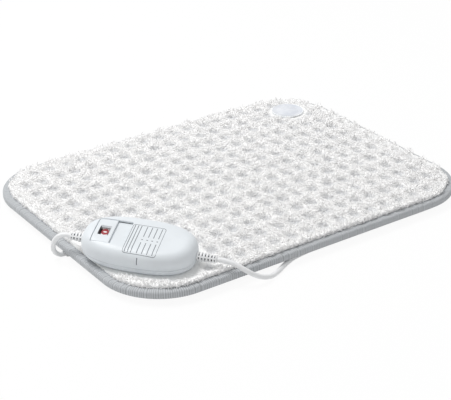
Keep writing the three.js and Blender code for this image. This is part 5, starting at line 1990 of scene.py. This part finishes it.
@dataclass
class Controller:
    """Shells, slide button, drum numerals, panel print and boots of the controller."""

    form: ControllerForm
    finishes: Finishes
    wall: float = 2.0
    gap: float = 0.3
    button_length: float = 19.0
    button_width: float = 33.2
    button_recess: float = 0.4
    button_edge: float = 0.7
    cap_thickness: float = 1.2
    cap_depth: float = 2.2
    travel: float = 15.0
    window_length: float = 9.6
    window_width: float = 10.4
    window_bevel: float = 1.7
    window_sides: tuple[float, float, float, float] = (0.5, 1.2, 1.9, 1.4)
    apron_drop: float = 2.5
    apron_thickness: float = 1.2
    apron_lap: float = 1.0
    apron_reach: float = 1.6
    apron_edge: float = 0.2
    slot_edge: float = 0.35
    slot_depth: float = 6.0
    slot_clear: float = 8.0
    boot_hole: float = 4.1
    drum_face: float = 8.6
    numeral_height: float = 7.6
    capital_share: float = 0.72
    numeral_shift: float = 1.0
    numeral_relief: float = 0.03
    numeral_weight: float = 0.6
    numeral_lift: float = 0.04
    numeral_squeeze: Pair = (1.4, 0.88)
    print_line: float = 0.72
    print_lift: float = 0.06
    print_sunk: float = -0.1
    panel_start: float = -9.6
    panel_end: float = 24.0
    panel_half: float = 20.1
    panel_middle: float = -5.5
    panel_corner: float = 2.6
    long_rules: Triple = (2.2, 5.4, 8.6)
    long_rule_inset: float = 0.8
    short_rules: int = 4
    short_rule_first: float = 14.6
    short_rule_last: float = 3.6
    short_rule_inset: float = 1.2
    short_rule_gap: float = 4.0
    dash_half: float = 0.8
    mark_x: float = 6.5
    mark_low: float = 14.6
    mark_high: float = 21.4
    mark_width: float = 0.9
    boot_root: float = 4.75
    boot_tip: float = 3.75
    boot_neck: float = 3.7
    boot_tail: float = 7.0
    boot_mouth: float = 2.8
    bar_inner: float = 2.2
    bar_half: float = 0.85
    bar_sink: float = 0.3
    rib_first: float = 3.6
    rib_pitch: float = 3.2
    rib_middle: float = 0.8
    rib_section: float = 0.42
    outline_steps: int = 128
    dome_steps: int = 26
    belly_steps: int = 14
    rule_steps: int = 48
    mark_steps: int = 14
    wall_samples: int = 400

    @property
    def slot(self) -> Triple:
        """Start, end and half width of the button's slot."""
        start = self.form.button_x - self.button_length / 2 - self.gap
        end = self.form.button_x + self.button_length / 2 + self.travel + self.gap
        return start, end, self.button_width / 2 + self.gap

    def _shell(self, name: str, upper: bool) -> Piece:
        """Makes one shell as a wall of even thickness, open at the parting line.

        Args:
            name: Name of the piece.
            upper: True for the upper shell.

        Returns:
            The shell, in the controller's axes.
        """
        form = self.form
        steps = self.dome_steps if upper else self.belly_steps
        deep, tall = (form.shoulder, form.top_height) if upper else (form.belly, -form.parting)
        sign = 1.0 if upper else -1.0
        start = form.parting + sign * self.gap / 2
        outer = [form.ring(0.0, start, self.outline_steps)]
        inner = [form.ring(self.wall, start, self.outline_steps)]
        for inward, rise in form.rounds(steps)[1:]:
            outer.append(form.ring(deep * inward, form.parting + tall * rise, self.outline_steps))
            lower = form.parting + (tall - sign * self.wall) * rise
            inner.append(form.ring(self.wall + deep * inward, lower, self.outline_steps))
        rings = outer[::-1] + inner
        return new_piece(name, np.vstack(rings), band_faces(len(rings), self.outline_steps), 35.0)

    def _slot_cutter(self) -> Piece:
        """Makes a cutter for the slot whose upper edges are broken along the crown.

        Returns:
            The cutter.
        """
        start, end, half = self.slot
        edge = self.slot_edge
        rings = []
        for depth, grow in ((self.slot_depth, 0.0), (edge, 0.0), (-edge, 2.0 * edge), (None, 2.0 * edge)):
            plan = self._rounded_box(start - grow, end + grow, half + grow, 1.0 + grow)
            height = np.full(len(plan), self.form.top + self.slot_clear)
            if depth is not None:
                height = self.form.dome(plan[:, 0], plan[:, 1]) - depth
            rings.append(np.column_stack([plan, height]))
        return new_piece("slot_cutter", np.vstack(rings), band_faces(len(rings), len(rings[0])))

    @staticmethod
    def _rounded_box(start: float, end: float, half: float, radius: float, steps: int = 40) -> Array:
        """Walks round a box with rounded corners in plan.

        Args:
            start: Start of the box.
            end: Its end.
            half: Half its width.
            radius: Radius of the corners.
            steps: Steps along each side.

        Returns:
            Plan points.
        """
        corners = ((end - radius, half - radius), (start + radius, half - radius),
                   (start + radius, radius - half), (end - radius, radius - half))
        arcs = []
        for quarter, corner in enumerate(corners):
            angles = np.radians(np.linspace(quarter * 90.0, quarter * 90.0 + 90.0, 6))
            arcs.append(np.array(corner) + radius * np.column_stack([np.cos(angles), np.sin(angles)]))
        shares = np.linspace(0.0, 1.0, steps, endpoint=False)[1:, None]
        sides = [blend(arc[-1], after[0], shares) for arc, after in zip(arcs, arcs[1:] + arcs[:1])]
        return np.vstack([part for pair in zip(arcs, sides) for part in pair])

    def _boot_bore(self) -> Piece:
        """Makes the cutter of the two holes that the boots come through."""
        half = [(-self.form.length, NEAR_AXIS), (-self.form.length, self.boot_hole)]
        return place(turned("boot_bore", half + [(-x, radius) for x, radius in half[::-1]], 40), self._lift)

    @property
    def _lift(self) -> Matrix:
        """Matrix that lifts a piece turned about the X axis to the parting line."""
        return Matrix.Translation(Vector((0.0, 0.0, self.form.parting * MM)))

    def _patch(
        self, name: str, lines_x: Array, lines_y: Array, height: Callable, floor: Callable,
        hole: Triple | None = None,
    ) -> Piece:
        """Makes a closed block over a rectangle, with a shaped top, a shaped underside and perhaps a window.

        Args:
            name: Name of the piece.
            lines_x: Places of the grid's lines along the controller.
            lines_y: Places of the grid's lines across it.
            height: Gives the top's height at points.
            floor: Gives the underside's height at points.
            hole: Window's start, end and half width, which lie on lines of the grid.

        Returns:
            The piece, in the controller's axes.
        """
        x, y = (grid.ravel() for grid in np.meshgrid(lines_x, lines_y))
        layers = [np.column_stack([x, y, shape(x, y)]) for shape in (height, floor)]
        columns, rows, count = len(lines_x), len(lines_y), len(x)
        build = bmesh.new()
        points = [build.verts.new(Vector(point) * MM) for point in np.vstack(layers)]
        solid = np.ones((rows - 1, columns - 1), bool)
        if hole:
            mid_x, mid_y = (lines_x[1:] + lines_x[:-1]) / 2, (lines_y[1:] + lines_y[:-1]) / 2
            inside_x = (mid_x > hole[0]) & (mid_x < hole[1])
            solid[np.ix_(np.abs(mid_y) < hole[2], inside_x)] = False
        around = np.pad(solid, 1)
        for row, column in np.argwhere(solid):
            ring = grid_face(row, column, columns)
            faces = [ring, [count + i for i in reversed(ring)]]
            for side, (up, over) in enumerate(((-1, 0), (0, 1), (1, 0), (0, -1))):
                if not around[row + 1 + up, column + 1 + over]:
                    first, second = ring[side], ring[(side + 1) % 4]
                    faces.append((second, first, count + first, count + second))
            for face in faces:
                build.faces.new([points[i] for i in face])
        bmesh.ops.delete(build, geom=[v for v in build.verts if not v.link_faces], context="VERTS")
        bmesh.ops.recalc_face_normals(build, faces=build.faces)
        mesh = bpy.data.meshes.new(name)
        build.to_mesh(mesh)
        build.free()
        piece = add_object(name, mesh)
        shade(piece, 38.0)
        return piece

    @staticmethod
    def _lines(start: float, end: float, edge: float, extra: Sequence[float] = (), steps: int = 26) -> Array:
        """Spaces grid lines over a span, close together at its rounded ends and at extra places.

        Args:
            start: Start of the span.
            end: Its end.
            edge: Reach of the rounded ends.
            extra: Places with close lines.
            steps: Number of even lines.

        Returns:
            Places of the lines.
        """
        ends = [edge * (1.0 - math.cos(a)) for a in np.linspace(0.0, math.pi / 2, 6)]
        places = [start + e for e in ends] + [end - e for e in ends]
        places += list(np.linspace(start + edge, end - edge, steps))
        places += [at + away for at in extra for away in (-0.35, -0.12, 0.0, 0.12, 0.35)]
        return np.unique(np.round(places, 4))

    def _button(self) -> Piece:
        """Makes the cap of the slide button with its window, and the apron that covers the slot beyond it.

        Returns:
            The button, in the controller's axes.
        """
        form, half = self.form, self.button_width / 2
        start, end = form.button_x - self.button_length / 2, form.button_x + self.button_length / 2
        from_x, to_x = form.button_x - self.window_length / 2, form.button_x + self.window_length / 2
        to_y = self.window_width / 2
        left, right, near, far = self.window_sides
        lines_x = self._lines(start, end, self.button_edge, (from_x, to_x, from_x - left, to_x + right))
        lines_y = self._lines(-half, half, self.button_edge, (-to_y, to_y, -to_y - near, to_y + far), 36)

        def rounded(distance: Array) -> Array:
            """Gives the drop of a rounded edge at a distance from it."""
            share = 1.0 - np.clip(distance / self.button_edge, 0.0, 1.0)
            return self.button_edge * (1.0 - np.sqrt(1.0 - share ** 2))

        def height(x: Array, y: Array) -> Array:
            """Follows the crown, with rounded outer edges and a bevel that leads down to the window.

            Args:
                x: Places along the controller.
                y: Places across it.

            Returns:
                The heights.
            """
            outer = np.minimum(np.minimum(x - start, end - x), half - np.abs(y))
            along = np.maximum((from_x - x) / left, (x - to_x) / right)
            across = np.maximum((-to_y - y) / near, (y - to_y) / far)
            bevel = self.window_bevel * np.clip(1.0 - np.maximum(along, across), 0.0, 1.0)
            return form.dome(x, y, self.button_recess) - rounded(outer) - bevel

        def floor(x: Array, y: Array) -> Array:
            """Gives a plain underside."""
            flat = form.top - self.button_recess - self.cap_depth
            return np.minimum(form.dome(x, y, self.button_recess) - self.cap_thickness, flat)

        def apron_top(x: Array, y: Array) -> Array:
            """Follows the crown's inside under the slot."""
            return np.minimum(form.dome(x, y, self.apron_drop), form.top - self.apron_drop)

        cap = self._patch("button_cap", lines_x, lines_y, height, floor, (from_x, to_x, to_y))
        cap.data.materials.append(self.finishes.slot("button_plastic"))
        cap.data.materials.append(self.finishes.of(Finishes.DARK_GAP))
        # Painted shade: the window's left and far inner walls take the dark gap shade.
        for face in cap.data.polygons:
            x, y, _ = face.center / MM
            on_left = from_x - left < x < from_x + 0.01 and abs(y) < to_y + 0.1
            on_far = abs(y - to_y) < 0.05 and from_x - left < x < to_x + 0.1
            if on_left or on_far:
                face.material_index = 1
        apron_x = self._lines(end - self.apron_lap, self.slot[1] + self.apron_reach, self.apron_edge)
        apron_y = self._lines(-half, half, self.apron_edge, (), 36)
        apron = self._patch("button_apron", apron_x, apron_y, apron_top,
                            lambda x, y: apron_top(x, y) - self.apron_thickness)
        apron.data.materials.append(self.finishes.slot("button_plastic"))
        return join("slide_button_cap", [cap, apron])

    def _numerals(self) -> Piece:
        """Prints a red numeral on each face of the drum, turned so that the window shows it at its level.

        Returns:
            The numerals in the frame.
        """
        parts = []
        middle = Vector((self.form.button_x, 0.0, self.form.axle_z)) * MM
        squeeze = Matrix.Diagonal((*self.numeral_squeeze, 1.0, 1.0))
        upright = Matrix.Rotation(math.pi / 2, 4, "Z")
        out = Vector((0.0, self.numeral_shift, self.drum_face / 2 + self.numeral_lift)) * MM
        for level in range(4):
            words = bpy.data.curves.new(f"numeral_{level}", "FONT")
            words.body = str(level)
            words.size = self.numeral_height / self.capital_share * MM
            words.align_x, words.align_y = "CENTER", "CENTER"
            words.extrude = self.numeral_relief * MM
            words.offset = self.numeral_weight * MM
            words.resolution_u = 6
            raised = add_object(f"numeral_{level}", words)
            mesh = evaluated_mesh(raised)
            bpy.data.objects.remove(raised)
            flat = np.array([v.co for v in mesh.vertices])
            centre = (flat.min(axis=0) + flat.max(axis=0)) / 2
            mesh.transform(Matrix.Translation(-Vector(centre)))
            piece = add_object(f"numeral_{level}", mesh)
            roll = Matrix.Rotation(-level * math.pi / 2, 4, "Y")
            seat = self.form.matrix @ Matrix.Translation(middle) @ roll @ Matrix.Translation(out)
            parts.append(place(piece, seat @ upright @ squeeze))
        return join("drum_numerals", parts)

    def _ribbon(self, points: Array, width: float) -> tuple[Array, list[Face]]:
        """Lays a flat printed line on the crown.

        Args:
            points: Plan points along the line.
            width: Its width.

        Returns:
            Points and faces of a thin closed strip.
        """
        along = np.gradient(points, axis=0)
        along /= np.linalg.norm(along, axis=1)[:, None]
        side = np.column_stack([-along[:, 1], along[:, 0]]) * width / 2
        high, sunk = self.print_lift, self.print_sunk
        rings = []
        for sign, lift in ((1, high), (-1, high), (-1, sunk), (1, sunk)):
            plan = points + sign * side
            rings.append(np.column_stack([plan, self.form.dome(plan[:, 0], plan[:, 1]) + lift]))
        strip = np.stack(rings, axis=1).reshape(-1, 3)
        return strip, band_faces(len(points), 4)

    def _panel(self) -> Piece:
        """Prints a plain ruled panel: a rounded frame, three long rules and two columns of short ones.

        Returns:
            The print, in the controller's axes.
        """
        start, end, half, middle = self.panel_start, self.panel_end, self.panel_half, self.panel_middle
        low, high, line = middle - half, middle + half, self.print_line
        frame = self._rounded_box(start, end, half, self.panel_corner, 14) + np.array([0.0, middle])
        strips = [(np.vstack([frame, frame[:1]]), line * 0.6)]
        inset = self.long_rule_inset
        strips += [(self._rule(start + x, low + inset, high - inset), line) for x in self.long_rules]
        inset, gap, half_dash = self.short_rule_inset, self.short_rule_gap, self.dash_half
        for x in np.linspace(start + self.short_rule_first, end - self.short_rule_last, self.short_rules):
            strips.append((self._rule(x, middle + gap, high - inset), line))
            strips.append((self._rule(x, low + inset, middle - gap), line))
            dash = np.array([(x - half_dash, middle), (x, middle), (x + half_dash, middle)])
            strips.append((dash, line * 1.4))
        strips += [(self._mark(side), self.mark_width) for side in (-1, 1)]
        points, faces, count = [], [], 0
        for plan, width in strips:
            strip, made = self._ribbon(plan, width)
            faces += [tuple(i + count for i in face) for face in made]
            points.append(strip)
            count += len(strip)
        return new_piece("panel_print", np.vstack(points), faces)

    def _mark(self, side: int) -> Array:
        """Gives the points of the short upright mark on one side wall.

        Args:
            side: 1 at the far wall and -1 at the near one.

        Returns:
            Plan points.
        """
        across = np.linspace(0.0, self.form.width / 2 - 0.01, self.wall_samples)
        wall = self.form.dome(np.full(self.wall_samples, self.mark_x), across)
        levels = np.linspace(self.mark_low, self.mark_high, self.mark_steps)
        y = np.interp(levels, wall[::-1], across[::-1])
        return np.column_stack([np.full(self.mark_steps, self.mark_x), side * y])

    def _rule(self, x: float, low: float, high: float) -> Array:
        """Gives the points of a straight rule across the controller."""
        return np.column_stack([np.full(self.rule_steps, x), np.linspace(low, high, self.rule_steps)])

    def _boot(self, name: str, side: int) -> Piece:
        """Makes a tapered boot: a core, dark with painted shade, with ribs that are tied together by bars.

        Args:
            name: Name of the piece.
            side: 1 at the mains end and -1 at the pad end.

        Returns:
            The boot in the frame.
        """
        start = self.form.length / 2 + self.gap
        end = start + self.form.boot_length(side)
        root, tip, neck, back = self.boot_root, self.boot_tip, self.boot_neck, start - self.boot_tail
        collar = [(back, NEAR_AXIS), (back, neck), (start - 0.4, neck), (start, root), (start + 1.0, root)]
        collar += [(start + 1.3, root - 0.3), (start + 1.3, NEAR_AXIS)]
        nose = [(end - 1.8, NEAR_AXIS), (end - 1.8, tip - 0.15), (end - 0.5, tip - 0.4)]
        nose += [(end, self.boot_mouth), (end, NEAR_AXIS)]
        near, far = start + 1.0, end - 1.5
        parts = [turned("boot_collar", collar, 40), turned("boot_nose", nose, 40)]
        parts += [self._boot_bar(near, far, angle) for angle in (45.0, 135.0, 225.0, 315.0)]
        for part in parts:
            part.data.materials.append(self.finishes.slot("cord_jacket"))
        # Painted shade: the core seen between the ribs is dark plastic standing in for the shade in the
        # slits.
        core = turned("boot_core", [(near, NEAR_AXIS), (near, 2.7), (far, 2.6), (far, NEAR_AXIS)], 28)
        core.data.materials.append(self.finishes.of(Finishes.DARK_GAP))
        boot = join(name, [*parts, core, self._ribs(f"{name}_ribs", start, end)])
        face_out(boot)
        shade(boot, 40.0)
        turn = Matrix.Identity(4) if side > 0 else Matrix.Rotation(math.pi, 4, "Z")
        return place(boot, self.form.matrix @ self._lift @ turn)

    def _ribs(self, name: str, start: float, end: float) -> Piece:
        """Grows a boot's ribs along its axis.

        Args:
            name: Name of the piece.
            start: Place of the boot's root.
            end: Place of its tip.

        Returns:
            The ribs as one piece.
        """
        first, last = start + self.rib_first, end - self.rib_first
        carrier = add_line("boot_line", np.array([(first, 0.0, 0.0), (last, 0.0, 0.0)]), Ends.OPEN)
        tree = GeometryTree(name)
        count = tree.size("Ribs", round((last - first) / self.rib_pitch) + 1, whole=True)
        base = tree.size("Base radius", (self.boot_root - 0.15) * MM)
        tip = tree.size("Tip radius", (self.boot_tip - 0.05) * MM)
        curve = tree.node("GeometryNodeMeshToCurve", None, {"Mesh": tree.carrier})
        spaced = tree.node("GeometryNodeResampleCurve", None, {"Curve": curve, "Count": count})
        along = tree.node("GeometryNodeSplineParameter", output="Factor")
        radius = tree.node("ShaderNodeMapRange", None, {"Value": along, "To Min": base, "To Max": tip})
        ring = tree.node("GeometryNodeCurvePrimitiveCircle", {"mode": "RADIUS"},
                         {"Resolution": 32, "Radius": self.rib_middle})
        section = tree.node("GeometryNodeCurvePrimitiveQuadrilateral", None,
                            {"Width": self.rib_section, "Height": self.rib_section})
        rib = tree.node("GeometryNodeCurveToMesh", None, {"Curve": ring, "Profile Curve": section})
        shape = tree.node("ShaderNodeCombineXYZ", None, {0: radius, 1: radius, 2: radius})
        grown = tree.node("GeometryNodeInstanceOnPoints", None, {
            "Points": spaced, "Instance": rib, "Rotation": (0.0, math.pi / 2, 0.0), "Scale": shape,
        })
        ribs = tree.grow(carrier, grown, name, self.finishes.slot("cord_jacket"))
        bpy.data.objects.remove(carrier)
        return ribs

    def _boot_bar(self, start: float, end: float, angle: float) -> Piece:
        """Makes one bar that ties a boot's ribs together, at an angle round its axis.

        Args:
            start: Start of the bar.
            end: Its end.
            angle: Angle in degrees.

        Returns:
            The bar.
        """
        turn = math.radians(angle)
        out, side = np.array([math.cos(turn), math.sin(turn)]), np.array([-math.sin(turn), math.cos(turn)])
        low, half = self.bar_inner, self.bar_half
        rings = []
        for x, radius in ((start, self.boot_root - self.bar_sink), (end, self.boot_tip - self.bar_sink)):
            for reach, across in ((low, -half), (low, half), (radius, half), (radius, -half)):
                rings.append((x, *(out * reach + side * across)))
        return new_piece("boot_bar", np.array(rings), band_faces(2, 4))

    def build(self) -> tuple[Piece, Piece]:
        """Makes the controller's pieces.

        Returns:
            The boots at the pad's end and at the mains end.
        """
        top = carve(self._shell("controller_upper", True), self._slot_cutter(), self._boot_bore())
        low = carve(self._shell("controller_lower", False), self._boot_bore())
        for shell, node in ((top, "controller_top_shell"), (low, "controller_bottom_shell")):
            shade(shell, 35.0)
            place(shell, self.form.matrix)
            dress(shell, self.finishes, "shell_plastic", Body.PAD, node)
        button = place(self._button(), self.form.matrix)
        dress(button, self.finishes, "button_plastic", Body.SLIDER, "slide_button")
        numerals = self._numerals()
        numerals.data.materials.append(self.finishes.of(Finishes.NUMERAL))
        dress(numerals, self.finishes, "drum_plastic", Body.DRUM)
        panel = place(self._panel(), self.form.matrix)
        panel.data.materials.append(self.finishes.of(Finishes.PRINT))
        dress(panel, self.finishes, "shell_plastic", Body.PAD)
        pad_boot, mains_boot = self._boot("pad_side_boot", -1), self._boot("mains_side_boot", 1)
        dress(pad_boot, self.finishes, "cord_jacket", Body.PAD, "strain_relief_pad_side")
        dress(mains_boot, self.finishes, "cord_jacket", Body.PAD, "strain_relief_mains_side")
        return pad_boot, mains_boot


def finish_solids(frame: dict, finishes: Finishes) -> None:
    """Gives every node that keeps its solid the finish of its slot.

    Args:
        frame: The loaded frame.
        finishes: Materials of the part.
    """
    slots = {part["node"]: part["material_slot"] for part in frame["record"]["subparts"]}
    for name, solid in frame["nodes"].items():
        material = finishes.slot(slots[name])
        if solid.material_slots:
            solid.material_slots[0].material = material
        else:
            solid.data.materials.append(material)
        LOG.info("%s keeps its solid", name)


def main() -> None:
    """Builds the part over its frame, in order."""
    logging.basicConfig(level=logging.INFO)
    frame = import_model()
    finishes = Finishes()
    Studio().build()
    finish_solids(frame, finishes)
    pad = PadForm()
    form = ControllerForm(frame["joints"])
    leads = Leads(form, finishes)
    pad_lead, mains_lead = leads.build()
    pad_boot, mains_boot = Controller(form, finishes).build()
    on_mains = [mains_boot] + [frame["nodes"][name] for name in (
        "coil_tie", "plug_body", "plug_strain_relief", "plug_pin_1", "plug_pin_2",
        "plug_pin_sleeve_1", "plug_pin_sleeve_2")]
    PadBack(pad, finishes).build()
    EdgeBinding(pad, finishes).build()
    Badge(finishes).build()
    PlushCover(pad, form, leads, finishes).build()


if __name__ == "__main__":
    main()
